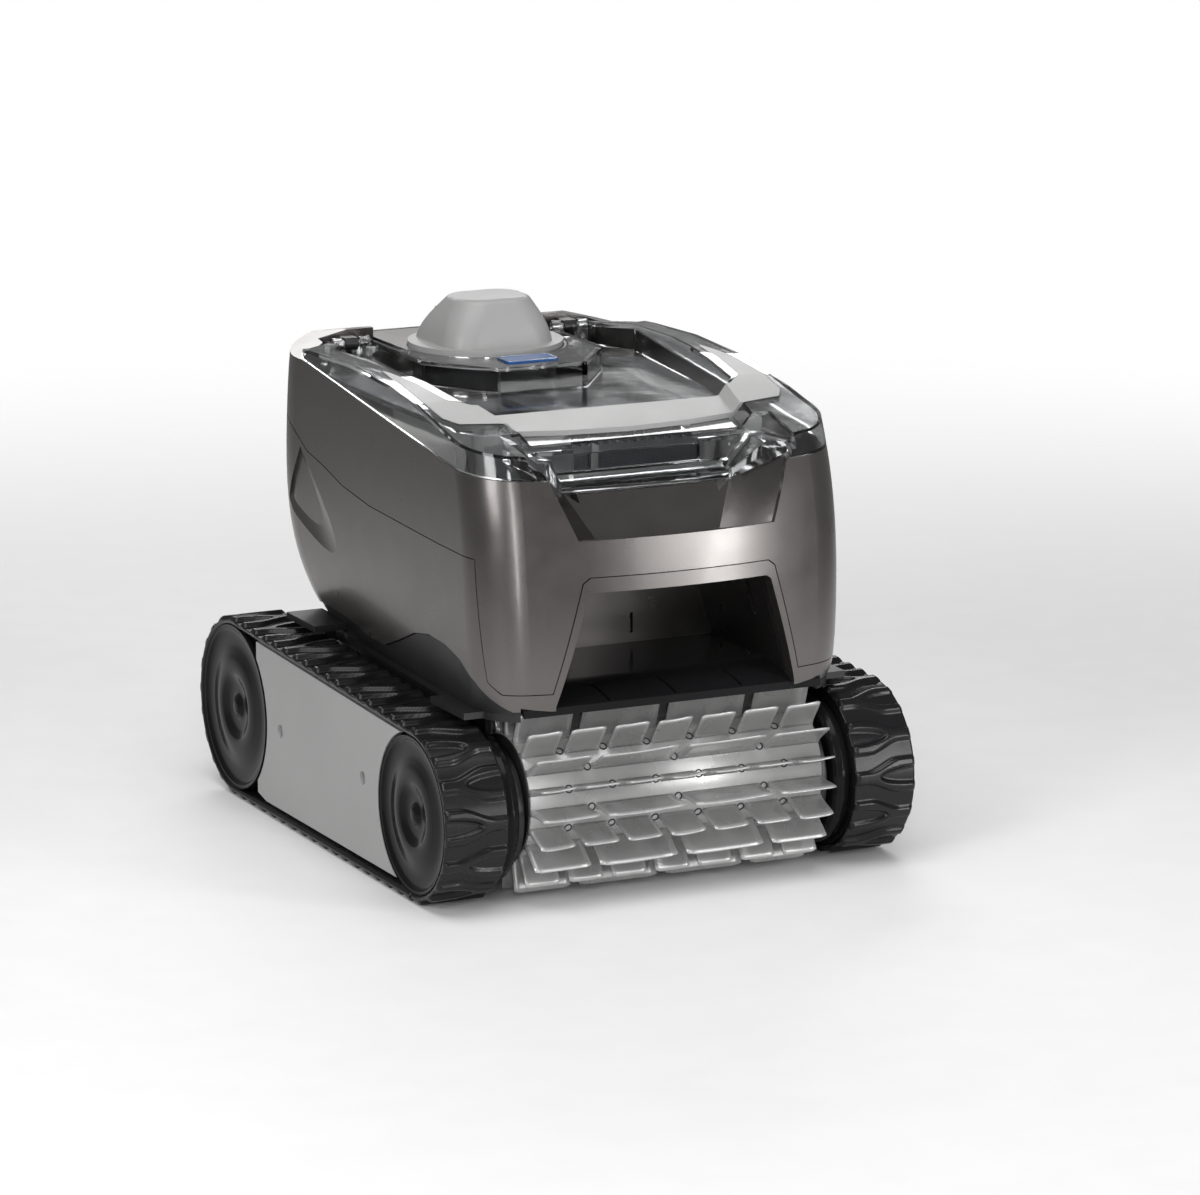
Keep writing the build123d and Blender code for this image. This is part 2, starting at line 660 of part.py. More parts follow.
def make_lid():
    """Clear lid: rim, tray, raised middle, apron with the finger slot, and hinge knuckles."""
    skin = 2.5
    region = lid_region()
    rim_top = side_profile(above(CROWN, -skin), HALF_WIDTH)
    grip_seat = plan_prism([(x + 0.4 * (x > 0), d) for x, d in GRIP_PLAN], 225, HIGH)
    inside = plan_prism([(74, 54.5)] + RIM_INSIDE[1:], 225, HIGH)
    inside_wide = plan_prism([(71, 50)] + [(x + skin, d) for x, d in RIM_INSIDE[1:]], 180, HIGH)
    with BuildPart() as hollow:
        add(hull_body(skin))
        add(rim_top, mode=Mode.SUBTRACT)
        add(bar_dip(4.5), mode=Mode.SUBTRACT)
        add(side_profile(above(CROWN, -skin - 2.6), HALF_WIDTH) & grip_seat, mode=Mode.SUBTRACT)
        add(inside_wide, mode=Mode.SUBTRACT)
        add(slab((-110, back(-60), 180), (110, back(LID_BACK - skin), HIGH)), mode=Mode.INTERSECT)
        add(front_profile(mirrored([(62, 190.0), (85.5, 255.0)]), -70, 14.5), mode=Mode.SUBTRACT)
    with BuildPart() as skirt_walls:
        add(inside_wide)
        add(inside, mode=Mode.SUBTRACT)
        add(tilted_slab(0, 80, 40, LID_BACK, 100), mode=Mode.INTERSECT)
        add(side_profile(above(CROWN), HALF_WIDTH), mode=Mode.SUBTRACT)
        add(bar_dip(2.6), mode=Mode.SUBTRACT)
    with BuildPart() as lid:
        add(region)
        add(inside, mode=Mode.SUBTRACT)
        add(hollow.part, mode=Mode.SUBTRACT)
        add(skirt_walls.part)
        tray_plan = [(73, 44)] + RIM_INSIDE[1:-1] + [(77, LID_BACK)]
        add(tilted_slab(0, skin, 44, LID_BACK, 92) & plan_prism(tray_plan, 200, HIGH))
        add(plan_prism(PLATEAU, tray_line(127), PLATEAU_TOP))
        add(plan_prism([(x - skin, d + skin) for x, d in PLATEAU[:-1]] + [(NOTCH_HALF, 240)], 200,
                       PLATEAU_TOP - skin), mode=Mode.SUBTRACT)
        add(ring_room(RING_RADIUS + 2.5), mode=Mode.SUBTRACT)
        add(slab((-NOTCH_HALF, HOOD_Y, 200), (NOTCH_HALF, back(245), HIGH)), mode=Mode.SUBTRACT)
        add(side_profile(above(CROWN, -GRIP_THICKNESS), HALF_WIDTH) & grip_seat, mode=Mode.SUBTRACT)
        add(bar_dip(GRIP_THICKNESS), mode=Mode.SUBTRACT)
        add(make_apron())
        add(grip_part(), mode=Mode.SUBTRACT)
        for side in (-1, 1):
            low, high = sorted((side * BRACKET[0], side * BRACKET[1]))
            add(slab((low - 1, back(225), 200), (high + 1, back(245), HIGH)), mode=Mode.SUBTRACT)
            for near, far in (KNUCKLES[:2], KNUCKLES[2:]):
                low, high = sorted((side * near, side * far))
                add(rod(HINGE, HINGE_RADIUS, low, high))
                add(slab((low, back(229), tray_line(229) + 1), (high, back(237), HINGE[1])))
            low, high = sorted((side * KNUCKLES[0], side * KNUCKLES[3]))
            add(rod(HINGE, PIN_RADIUS, low, high), mode=Mode.SUBTRACT)
    save(lid.part, "lid_clear")

    with BuildPart() as pins:
        for side in (-1, 1):
            low, high = sorted((side * (KNUCKLES[0] + 0.5), side * (KNUCKLES[3] - 0.5)))
            add(rod(HINGE, PIN_RADIUS, low, high))
    save(pins.part, "lid_hinge_pins")


def make_apron():
    """The stepped front of the lid under the grip bar, with the finger slot through it."""
    with BuildPart() as apron:
        add(side_profile([(0, 206.3), (1, 210.5), (6.5, 211.5), (8, 214.6), (12, 215.2), (12, 225.4),
                          (13.2, 226.6),
                          (34, 227.6), (34, 225.4), (15, 224.2), (15, 213), (10, 209), (4, 206.3)], 90))
        add(front_profile(mirrored([(48.5, 206.3), (75.5, 234)]), -10, 40), mode=Mode.INTERSECT)
        add(slab((-FINGER_HALF, back(9), 215.0), (FINGER_HALF, back(40), 240)), mode=Mode.SUBTRACT)
    with BuildPart() as wedges:
        for side in (-1, 1):
            with BuildSketch(Plane.XZ.offset(-back(14))):
                with BuildLine():
                    Polyline((side * 49, 206.4), (side * 69.3, 222.6), (side * 76, 223), (side * 76, 228),
                             (side * 62, 228), (side * 49, 212), close=True)
                make_face()
            extrude(amount=40)
        plan = [(48.8, 0.4), (69.3, -22.5), (90, -24), (90, 14), (48.8, 14)]
        add(plan_prism(plan, 190, 240), mode=Mode.INTERSECT)
        add(HULL_OUTER, mode=Mode.INTERSECT)
    with BuildPart() as joined:
        add(apron.part)
        add(wedges.part)
    return joined.part


def grip_part():
    """Grey grip: a low bar across the front that rises into two arms."""
    with BuildPart() as trough:
        add(bar_dip(GRIP_THICKNESS))
        add(side_profile(above(CROWN), HALF_WIDTH), mode=Mode.SUBTRACT)
    with BuildPart() as grip:
        add(side_profile([(d, z - GRIP_THICKNESS) for d, z in CROWN] + [(d, z) for d,
                                                                        z in reversed(CROWN)], 110))
        add(trough.part)
        add(plan_prism(GRIP_PLAN, 225, HIGH), mode=Mode.INTERSECT)
        add(bar_dip(0), mode=Mode.SUBTRACT)
        add(grip_skirt())
    return grip.part


def make_grip():
    """The grip, the ribs under its bar and the badge on the lid."""
    save(grip_part(), "lid_grip")

    with BuildPart() as ribs:
        for column in range(13):
            x = (column - 6) * 5.3
            add(slab((x - 0.6, back(26), 225), (x + 0.6, back(44), 231.1)))
        add(slab((-33, back(40), 225), (33, back(41.2), 231.1)))
    save(ribs.part, "grip_ribs")

    with BuildPart() as badge:
        with BuildSketch(Plane.XY.offset(PLATEAU_TOP)):
            with Locations((0, back(146.6))):
                RectangleRounded(30, 17, 2.5)
        extrude(amount=0.8)
    save(badge.part, "lid_badge")


def grip_skirt():
    """The lip that hangs from the front edge of the bar, notched over the finger slot."""
    with BuildPart() as skirt:
        add(plan_prism([(0, 20), (35, 22), (60, 25.5), (60, 28.5), (35, 25), (0, 23)], 228, 236))
        add(side_profile(above(BAR_TOP, -1), 90), mode=Mode.SUBTRACT)
        add(front_profile(mirrored([(40, 227), (34.5, 232.4)]), 10, 40), mode=Mode.SUBTRACT)
    return skirt.part


def make_brackets():
    """Two brackets on the ears that carry the lid's pins."""
    with BuildPart() as brackets:
        for side in (-1, 1):
            low, high = sorted((side * BRACKET[0], side * BRACKET[1]))
            add(slab((low, HINGE[0], HINGE[1] - 3.4), (high, back(EAR_FRONT), HINGE[1] + 3.4)))
            add(slab((low, back(EAR_FRONT - 3), 236), (high, back(EAR_FRONT), HINGE[1] + 3.4)))
            add(rod(HINGE, 3.4, low, high))
            add(rod(HINGE, PIN_RADIUS + RUNNING_FIT, low - 1, high + 1), mode=Mode.SUBTRACT)
    save(brackets.part, "hinge_brackets")


# ---------------------------------------------------------------- tracks and wheels
def belt_path(offset):
    """Front and rear circles of the belt, reduced by offset, and the tilt of its top run."""
    tilt = 2 * atan2(REAR_TRACK_RADIUS - FRONT_TRACK_RADIUS, WHEELBASE)
    return FRONT_TRACK_RADIUS - offset, REAR_TRACK_RADIUS - offset, tilt


def belt_loop(offset, x, length):
    """The solid inside the belt at an offset below the lug tips."""
    front_radius, rear_radius, tilt = belt_path(offset)
    fy, fz = FRONT_AXLE
    ry, rz = REAR_AXLE
    top_front = (fy - front_radius * sin(tilt), fz + front_radius * cos(tilt))
    top_rear = (ry - rear_radius * sin(tilt), rz + rear_radius * cos(tilt))
    with BuildPart() as loop:
        with BuildSketch(across(x)):
            with BuildLine():
                Line((fy, offset), (ry, offset))
                ThreePointArc((ry, offset), (ry + rear_radius, rz), top_rear)
                Line(top_rear, top_front)
                ThreePointArc(top_front, (fy - front_radius, fz), (fy, offset))
            make_face()
        extrude(amount=length)
    return loop.part


def belt_station(along):
    """Y, Z and outward angle of a point on the belt, a distance along from the front axle's foot."""
    base = BELT_LUG
    front_radius, rear_radius, tilt = belt_path(base)
    rear_turn = pi - tilt
    top_run = hypot(WHEELBASE, REAR_TRACK_RADIUS - FRONT_TRACK_RADIUS) * cos(tilt / 2)
    if along < WHEELBASE:
        return FRONT_AXLE[0] + along, base, -pi / 2
    along -= WHEELBASE
    if along < rear_radius * rear_turn:
        angle = -pi / 2 + along / rear_radius
        return REAR_AXLE[0] + rear_radius * cos(angle), REAR_AXLE[1] + rear_radius * sin(angle), angle
    along -= rear_radius * rear_turn
    angle = pi / 2 + tilt
    if along < top_run:
        start_y = REAR_AXLE[0] + rear_radius * cos(angle)
        start_z = REAR_AXLE[1] + rear_radius * sin(angle)
        return start_y - along * cos(tilt), start_z - along * sin(tilt), angle
    along -= top_run
    angle += along / front_radius
    return FRONT_AXLE[0] + front_radius * cos(angle), FRONT_AXLE[1] + front_radius * sin(angle), angle


def make_track(side, name):
    """One closed rubber belt with its lugs."""
    start = BELT_INNER_X if side > 0 else -HALF_WIDTH
    front_radius, rear_radius, tilt = belt_path(BELT_LUG)
    top_run = hypot(WHEELBASE, REAR_TRACK_RADIUS - FRONT_TRACK_RADIUS) * cos(tilt / 2)
    length = WHEELBASE + rear_radius * (pi - tilt) + top_run + front_radius * (pi + tilt)
    with BuildPart() as track:
        add(belt_loop(BELT_LUG, start, BELT_WIDTH))
        with BuildSketch(across(start)):
            for lug in range(LUG_COUNT):
                y, z, angle = belt_station((lug + 0.5) * length / LUG_COUNT)
                with Locations(Location((y, z), degrees(angle) + 90)):
                    with Locations((0, BELT_LUG / -2 + 0.2)):
                        Rectangle(6.6, BELT_LUG + 0.4)
        extrude(amount=BELT_WIDTH)
        add(belt_loop(BELT_LUG + BELT_BASE, start, BELT_WIDTH), mode=Mode.SUBTRACT)
        add(slab((-200, back(-100), -5), (200, back(400), 0)), mode=Mode.SUBTRACT)
    save(track.part, name)


BOSS_RADIUS = 27.0
STUB_RADIUS = 5.0
DRIVE_SHAFT_RADIUS = 5.0
RING_TEETH = 36
PINION_TEETH = 24
GEAR_START = 105.6
GEAR_END = 111.0
PLATE_INNER_X = 85.8
PLATE_OUTER_X = 88.8


def make_wheels():
    """Four wheels with their hubcaps, the ring gear and the drive shafts."""
    rim_gap = BELT_BASE + BELT_LUG + CLEAR
    for side, hand in ((-1, "left"), (1, "right")):
        rim = FRONT_TRACK_RADIUS - rim_gap
        bore = BOSS_RADIUS + RUNNING_FIT
        wheel = turned(FRONT_AXLE, side, [
            (90.5, bore), (90.5, 37), (92, 39), (95, 40), (99, 39), (100.5, 37), (100.5, rim), (130, rim),
            (130, rim - 3), (116, rim - 3), (116, 6), (112, 6), (112, 25), (105.4, 25), (105.4, bore)])
        save(wheel, f"front_wheel_{hand}")
        rim = REAR_TRACK_RADIUS - rim_gap
        wheel = turned(REAR_AXLE, side, [
            (90.5, DRIVE_SHAFT_RADIUS), (90.5, 38), (92, 41), (95, 42.5), (99, 41), (100.5, 38),
            (100.5, rim), (130, rim),
            (130, rim - 3), (112, rim - 3), (108, 20), (118, 12), (118, DRIVE_SHAFT_RADIUS)])
        save(wheel, f"rear_wheel_{hand}")
        save(rod(REAR_AXLE, DRIVE_SHAFT_RADIUS, *sorted((side * 78, side * 118))), f"drive_shaft_{hand}")
        for axle, radius, end, hub in ((FRONT_AXLE, 41.7, "front", 116), (REAR_AXLE, 45.8, "rear", 118)):
            cap = turned(axle, side, [
                (130, 0), (130, radius - 1.2), (131, radius), (134, radius), (HALF_WIDTH, radius - 0.8),
                (HALF_WIDTH, radius - 1.6), (133.6, radius - 3), (131.8, radius * 0.72),
                (131.6, radius * 0.62),
                (133.4, radius * 0.52), (133.8, radius * 0.46), (133.0, radius * 0.38),
                (131.0, radius * 0.3),
                (130.8, radius * 0.13), (132.4, radius * 0.1), (132.8, 0)])
            save(cap, f"{end}_hubcap_{hand}")


def gear_outline(center, teeth, tip, root, turn, root_share, tip_share):
    """Straight-flanked tooth outline as points around a centre."""
    points = []
    for tooth in range(teeth):
        middle = turn + 2 * pi * tooth / teeth
        half_root, half_tip = root_share * 2 * pi / teeth, tip_share * 2 * pi / teeth
        for angle, radius in ((-half_root, root), (-half_tip, tip), (half_tip, tip), (half_root, root)):
            points.append((center[0] + radius * cos(middle + angle),
                           center[1] + radius * sin(middle + angle)))
    return points


def make_brush_drive():
    """Internal ring gear in the left front wheel and the pinion on the brush."""
    start, end = -GEAR_END, -GEAR_START
    aim = atan2(BRUSH_AXIS[1] - FRONT_AXLE[1], BRUSH_AXIS[0] - FRONT_AXLE[0])
    with BuildPart() as ring:
        with BuildSketch(across(start)):
            with Locations(FRONT_AXLE):
                Circle(25.0)
            with BuildLine():
                Polyline(*gear_outline(FRONT_AXLE, RING_TEETH, 19.2, 17.3, aim, 0.40, 0.18), close=True)
            make_face(mode=Mode.SUBTRACT)
        extrude(amount=end - start)
    save(ring.part, "brush_ring_gear")
    with BuildPart() as pinion:
        with BuildSketch(across(start)):
            with BuildLine():
                Polyline(*gear_outline(BRUSH_AXIS, PINION_TEETH, 12.5, 10.7, aim, 0.26, 0.08), close=True)
            make_face()
            with Locations(BRUSH_AXIS):
                Circle(STUB_RADIUS, mode=Mode.SUBTRACT)
        extrude(amount=end - start)
    save(pinion.part, "brush_pinion")


BLADE_ROWS = 20
BLADE_THICKNESS = 1.6
SLEEVE_INNER = 30.5
WIDE_SLOTS = (-49.6, 0.0, 49.6)
NARROW_SLOTS = (-62.0, -37.2, -12.4, 12.4, 37.2, 62.0)
SLOT_WIDTH = 5.5


def make_brush():
    """Rubber brush sleeve with its rows of paddles, the core inside it, and the bushes."""
    with BuildPart() as sleeve:
        add(rod(BRUSH_AXIS, BRUSH_CORE_RADIUS, -BRUSH_HALF_LENGTH, BRUSH_HALF_LENGTH))
        for phase, slots in ((0, WIDE_SLOTS), (1, NARROW_SLOTS)):
            edges = [-BRUSH_HALF_LENGTH] + [x + s for x in slots for s in (-SLOT_WIDTH / 2, SLOT_WIDTH / 2)]
            edges.append(BRUSH_HALF_LENGTH)
            for start, end in zip(edges[0::2], edges[1::2]):
                with BuildSketch(across(start, *BRUSH_AXIS)):
                    step = 720 / BLADE_ROWS
                    with Locations(*[Location((0, 0), BLADE_TURN + step * (row + phase / 2))
                                     for row in range(BLADE_ROWS // 2)]):
                        with Locations(((BRUSH_CORE_RADIUS + BRUSH_TIP_RADIUS) / 2 - 0.5, 0)):
                            Rectangle(BRUSH_TIP_RADIUS - BRUSH_CORE_RADIUS + 1, BLADE_THICKNESS)
                extrude(amount=end - start)
        add(rod(BRUSH_AXIS, SLEEVE_INNER, -90, 90), mode=Mode.SUBTRACT)
    save(sleeve.part, "brush_sleeve")

    flange = BRUSH_HALF_LENGTH + 0.8
    core = [(-GEAR_END, 0), (-GEAR_END, STUB_RADIUS), (-flange, STUB_RADIUS), (-flange, 32.5),
            (-BRUSH_HALF_LENGTH, 32.5),
            (-BRUSH_HALF_LENGTH, SLEEVE_INNER), (BRUSH_HALF_LENGTH, SLEEVE_INNER),
            (BRUSH_HALF_LENGTH, 32.5),
            (flange, 32.5), (flange, STUB_RADIUS), (100, STUB_RADIUS), (100, 0)]
    save(turned(BRUSH_AXIS, 1, core), "brush_core")
    with BuildPart() as brush_bushes:
        for side in (-1, 1):
            inner = STUB_RADIUS + RUNNING_FIT
            add(turned(BRUSH_AXIS, side, [(PLATE_INNER_X, inner), (PLATE_INNER_X, 7), (103.8, 7),
                                          (103.8, inner)]))
    save(brush_bushes.part, "brush_bushes")
    with BuildPart() as drive_bushes:
        for side in (-1, 1):
            inner = DRIVE_SHAFT_RADIUS + RUNNING_FIT
            add(turned(REAR_AXLE, side, [(PLATE_INNER_X, inner), (PLATE_INNER_X, 8), (90.0, 8),
                                         (90.0, inner)]))
    save(drive_bushes.part, "drive_bushes")


# ---------------------------------------------------------------- chassis
TUB_FLOOR = 14.0
TUB_TOP = 84.0
TUB_FRONT = 62.0
TUB_BACK = 262.0
LIP_TOP = 101.0
LIP_FOOT = 96.0
COVER_INNER = 55.0
COVER_OUTER = 58.5
COVER_HALF = 85.2
FLOOR_TOP = 110.0
MOUTH = ((-58, 84), (58, 108))


def make_chassis():
    """Black chassis: tub, side plates with wheel bosses, perimeter lip, side skirts and track guides."""
    outline = hull_section((LIP_FOOT, -40.5, 226, 102.5, 90), 0.6)
    outline_inner = hull_section((LIP_FOOT, -40.5, 226, 102.5, 90), 17)
    with BuildPart() as chassis:
        add(slab((-PLATE_OUTER_X, back(TUB_FRONT), TUB_FLOOR), (PLATE_OUTER_X, back(TUB_BACK), TUB_TOP)))
        add(slab((-PLATE_INNER_X, back(TUB_FRONT + WALL), TUB_FLOOR + WALL),
                 (PLATE_INNER_X, back(TUB_BACK - WALL), TUB_TOP + 1)), mode=Mode.SUBTRACT)
        add(slab((MOUTH[0][0], back(MOUTH[0][1]), 0), (MOUTH[1][0], back(MOUTH[1][1]), 30)),
            mode=Mode.SUBTRACT)
        for side in (-1, 1):
            low, high = sorted((side * PLATE_INNER_X, side * PLATE_OUTER_X))
            with BuildSketch(across(low)):
                with Locations(FRONT_AXLE):
                    Circle(33)
                with BuildLine():
                    Polyline((FRONT_AXLE[0] + 8, FRONT_AXLE[1] - 32), (back(TUB_FRONT + 2), TUB_FLOOR),
                             (back(TUB_FRONT + 2), LIP_FOOT), (back(8), LIP_FOOT), (back(8), 70),
                             close=True)
                make_face()
            extrude(amount=high - low)
            add(rod(FRONT_AXLE, BOSS_RADIUS, *sorted((side * PLATE_OUTER_X, side * 104))))
            add(rod(BRUSH_AXIS, 7.0, *sorted((side * 80, side * 110))), mode=Mode.SUBTRACT)
            add(rod(REAR_AXLE, 8.0, *sorted((side * 80, side * 110))), mode=Mode.SUBTRACT)
        with BuildSketch(Plane.XY.offset(TUB_TOP)):
            with BuildLine():
                Polyline((-PLATE_OUTER_X, back(TUB_FRONT)), (PLATE_OUTER_X, back(TUB_FRONT)),
                         (PLATE_OUTER_X, back(150)), (74, back(240)), (-74, back(240)),
                         (-PLATE_OUTER_X, back(150)),
                         close=True)
            make_face()
            offset(amount=-WALL, mode=Mode.SUBTRACT)
        extrude(amount=LIP_TOP - TUB_TOP)
    with BuildPart() as lip:
        add(extrude(outline, amount=LIP_TOP - LIP_FOOT, mode=Mode.PRIVATE))
        add(extrude(outline_inner, amount=LIP_TOP - LIP_FOOT, mode=Mode.PRIVATE), mode=Mode.SUBTRACT)
        add(slab((-38, back(150), 90), (38, back(260), 110)), mode=Mode.SUBTRACT)
        add(slab((-62, back(-60), 90), (62, back(-30), 110)), mode=Mode.SUBTRACT)
    with BuildPart() as skirt:
        add(hull_body(1.2))
        add(hull_body(4.0), mode=Mode.SUBTRACT)
        add(side_profile(above(HULL_FOOT, -SEAM), HALF_WIDTH), mode=Mode.SUBTRACT)
        add(slab((-150, back(-26), LIP_TOP - 1), (150, back(250), 140)), mode=Mode.INTERSECT)
    with BuildPart() as guides:
        for side in (-1, 1):
            low, high = sorted((side * 92, side * 113))
            add(slab((low, back(176), 103.5), (high, back(216), 107.0)))
            low, high = sorted((side * 94, side * 110))
            add(slab((low, back(-12), 96.5), (high, back(30), 100.0)))
    with BuildPart() as base:
        add(chassis.part)
        add(lip.part)
        add(skirt.part)
        add(guides.part)
        add(rod(BRUSH_AXIS, COVER_OUTER, -COVER_HALF, COVER_HALF), mode=Mode.SUBTRACT)
    save(base.part, "chassis_base")

    with BuildPart() as cover:
        add(rod(BRUSH_AXIS, COVER_OUTER, -COVER_HALF, COVER_HALF))
        add(side_profile([(-31.5, 80), (-31.5, HIGH), (90, HIGH), (90, 20), (20, 20)], 90),
            mode=Mode.INTERSECT)
        add(slab((-COVER_HALF, back(-4), FLOOR_TOP - 3.5), (COVER_HALF, back(LINER_BACK), FLOOR_TOP)))
        add(rod(BRUSH_AXIS, COVER_INNER, -90, 90), mode=Mode.SUBTRACT)
        for x in (-38, 0, 38):
            with Locations(Plane(origin=(x, back(-22), 100), x_dir=(-0.22, 1, 0), z_dir=(0, 0, 1))):
                Box(17, 1.8, 40, mode=Mode.SUBTRACT)
    save(cover.part, "brush_cover")


def make_side_frames():
    """Frame inside each belt loop, its outer panel and the panel's screws."""
    for side, hand in ((-1, "left"), (1, "right")):
        low, high = sorted((side * 89.2, side * 131))
        frame_loop = belt_loop(BELT_BASE + BELT_LUG + 3, low, high - low)
        with BuildPart() as frame:
            add(frame_loop)
            add(slab((low, back(38), 0), (high, back(200), 120)), mode=Mode.INTERSECT)
            add(slab((low + 3 * (side < 0), back(70), 18), (high - 3 * (side > 0), back(112), 78)),
                mode=Mode.SUBTRACT)
            add(slab((low + 3 * (side < 0), back(122), 18), (high - 3 * (side > 0), back(164), 80)),
                mode=Mode.SUBTRACT)
            add(rod(FRONT_AXLE, FRONT_TRACK_RADIUS - 2.5, low, high), mode=Mode.SUBTRACT)
            add(rod(REAR_AXLE, REAR_TRACK_RADIUS - 2.5, low, high), mode=Mode.SUBTRACT)
            for hole in PANEL_HOLES:
                add(rod((back(hole), PANEL_HOLE_Z), 2.0, *sorted((side * 119, side * 132))),
                    mode=Mode.SUBTRACT)
        save(frame.part, f"side_frame_{hand}")
        low, high = sorted((side * 131, side * (HALF_WIDTH - 0.6)))
        with BuildPart() as panel:
            add(belt_loop(BELT_BASE + BELT_LUG + 1.2, low, high - low))
            add(side_profile([(14, 8.5), (196, 7.5), (208, 10), (208, 110), (14, 110)], HALF_WIDTH),
                mode=Mode.INTERSECT)
            add(rod(FRONT_AXLE, 43.0, low, high), mode=Mode.SUBTRACT)
            add(rod(REAR_AXLE, 47.2, low, high), mode=Mode.SUBTRACT)
            for hole in PANEL_HOLES:
                add(rod((back(hole), PANEL_HOLE_Z), 3.6, low, high), mode=Mode.SUBTRACT)
        save(panel.part, f"side_panel_{hand}")
    with BuildPart() as screws:
        for side in (-1, 1):
            for hole in PANEL_HOLES:
                add(rod((back(hole), PANEL_HOLE_Z), 3.3, *sorted((side * 131, side * 132.8))))
                add(rod((back(hole), PANEL_HOLE_Z), 1.9, *sorted((side * 120, side * 131))))
    save(screws.part, "panel_screws")


# ---------------------------------------------------------------- inside the body
FILTER_FRONT, FILTER_BACK, FILTER_HALF = 63.0, 160.0, 72.0
FILTER_FOOT, FILTER_TOP = 114.0, 226.0


def make_filter():
    """Lift-out filter: frame, mesh walls, handle and top seal."""
    with BuildPart() as frame:
        with BuildSketch(Plane.XY.offset(FILTER_FOOT)):
            with Locations((0, back((FILTER_FRONT + FILTER_BACK) / 2))):
                RectangleRounded(2 * FILTER_HALF, FILTER_BACK - FILTER_FRONT, 8)
            with Locations((0, back(96))):
                Rectangle(106, 26, mode=Mode.SUBTRACT)
        extrude(amount=3)
        for height, thick in ((FILTER_FOOT, 8), (168, 4), (FILTER_TOP - 6, 6)):
            with BuildSketch(Plane.XY.offset(height)):
                with Locations((0, back((FILTER_FRONT + FILTER_BACK) / 2))):
                    RectangleRounded(2 * FILTER_HALF, FILTER_BACK - FILTER_FRONT, 8)
                    RectangleRounded(2 * FILTER_HALF - 5, FILTER_BACK - FILTER_FRONT - 5, 6,
                                     mode=Mode.SUBTRACT)
            extrude(amount=thick)
        with BuildSketch(Plane.XY.offset(FILTER_FOOT)):
            with Locations((0, back((FILTER_FRONT + FILTER_BACK) / 2))):
                with GridLocations(2 * FILTER_HALF - 10, FILTER_BACK - FILTER_FRONT - 2.5, 2, 2):
                    Rectangle(6, 2.5)
                with GridLocations(2 * FILTER_HALF - 2.5, FILTER_BACK - FILTER_FRONT - 12, 2, 2):
                    Rectangle(2.5, 6)
                with GridLocations(1, FILTER_BACK - FILTER_FRONT - 2.5, 1, 2):
                    Rectangle(4, 2.5)
        extrude(amount=FILTER_TOP - FILTER_FOOT)
        for side in (-1, 1):
            low, high = sorted((side * 55.6, side * 59))
            add(slab((low, FLAP_HINGE[0] - 2.5, FILTER_FOOT + 3), (high, FLAP_HINGE[0] + 2.5, 122)))
            add(rod(FLAP_HINGE, 1.45, low, high), mode=Mode.SUBTRACT)
    save(frame.part, "filter_frame")

    with BuildPart() as mesh:
        with BuildSketch(Plane.XY.offset(FILTER_FOOT + 8)):
            with Locations((0, back((FILTER_FRONT + FILTER_BACK) / 2))):
                RectangleRounded(2 * FILTER_HALF - 5.2, FILTER_BACK - FILTER_FRONT - 5.2, 6)
                RectangleRounded(2 * FILTER_HALF - 7, FILTER_BACK - FILTER_FRONT - 7, 5, mode=Mode.SUBTRACT)
        extrude(amount=FILTER_TOP - FILTER_FOOT - 14)
    save(mesh.part, "filter_mesh")

    with BuildPart() as handle:
        add(slab((-10, back(FILTER_FRONT + 3.6), FILTER_TOP - 4),
                 (10, back(FILTER_BACK - 3.6), FILTER_TOP)))
    save(handle.part, "filter_handle")

    with BuildPart() as seal:
        with BuildSketch(Plane.XY.offset(FILTER_TOP)):
            with Locations((0, back((FILTER_FRONT + FILTER_BACK) / 2))):
                RectangleRounded(2 * FILTER_HALF, FILTER_BACK - FILTER_FRONT, 8)
                RectangleRounded(2 * FILTER_HALF - 6, FILTER_BACK - FILTER_FRONT - 6, 5, mode=Mode.SUBTRACT)
        extrude(amount=2.5)
    save(seal.part, "filter_seal")


def make_intake():
    """Suction duct from the floor mouth to the filter, and the flap that closes it."""
    with BuildPart() as duct:
        add(slab((-61, back(81), TUB_FLOOR + WALL), (61, back(111), FILTER_FOOT)))
        add(slab((-58, back(84), 0), (58, back(108), 140)), mode=Mode.SUBTRACT)
    save(duct.part, "intake_duct")
    with BuildPart() as flap:
        add(rod(FLAP_HINGE, 2.4, -52, 52))
        add(slab((-55, back(82), 118.4), (55, FLAP_HINGE[0], 120.2)))
        add(rod(FLAP_HINGE, 1.5, -60, 60), mode=Mode.SUBTRACT)
    save(flap.part, "intake_flap")
    with BuildPart() as pin:
        add(rod(FLAP_HINGE, 1.45, -59, 59))
    save(pin.part, "flap_pin")


def make_drives():
    """Gearboxes, drive motors and the foam floats."""
    with BuildPart() as motors:
        for side, hand in ((-1, "left"), (1, "right")):
            low, high = sorted((side * 42, side * 85.4))
            gearbox = slab((low, back(216), 24), (high, back(258), 78))
            gearbox -= rod(REAR_AXLE, DRIVE_SHAFT_RADIUS + RUNNING_FIT, *sorted((side * 77.5, side * 86)))
            save(gearbox, f"drive_gearbox_{hand}")
            with BuildSketch(Plane.XZ.offset(-back(216))):
                with Locations((side * 62, 50)):
                    Circle(17)
            extrude(amount=62)
    save(motors.part, "drive_motors")
    with BuildPart() as floats:
        for side in (-1, 1):
            low, high = sorted((side * 78, side * 97))
            add(slab((low, back(60), 190), (high, back(215), 224)))
    save(floats.part, "foam_floats")


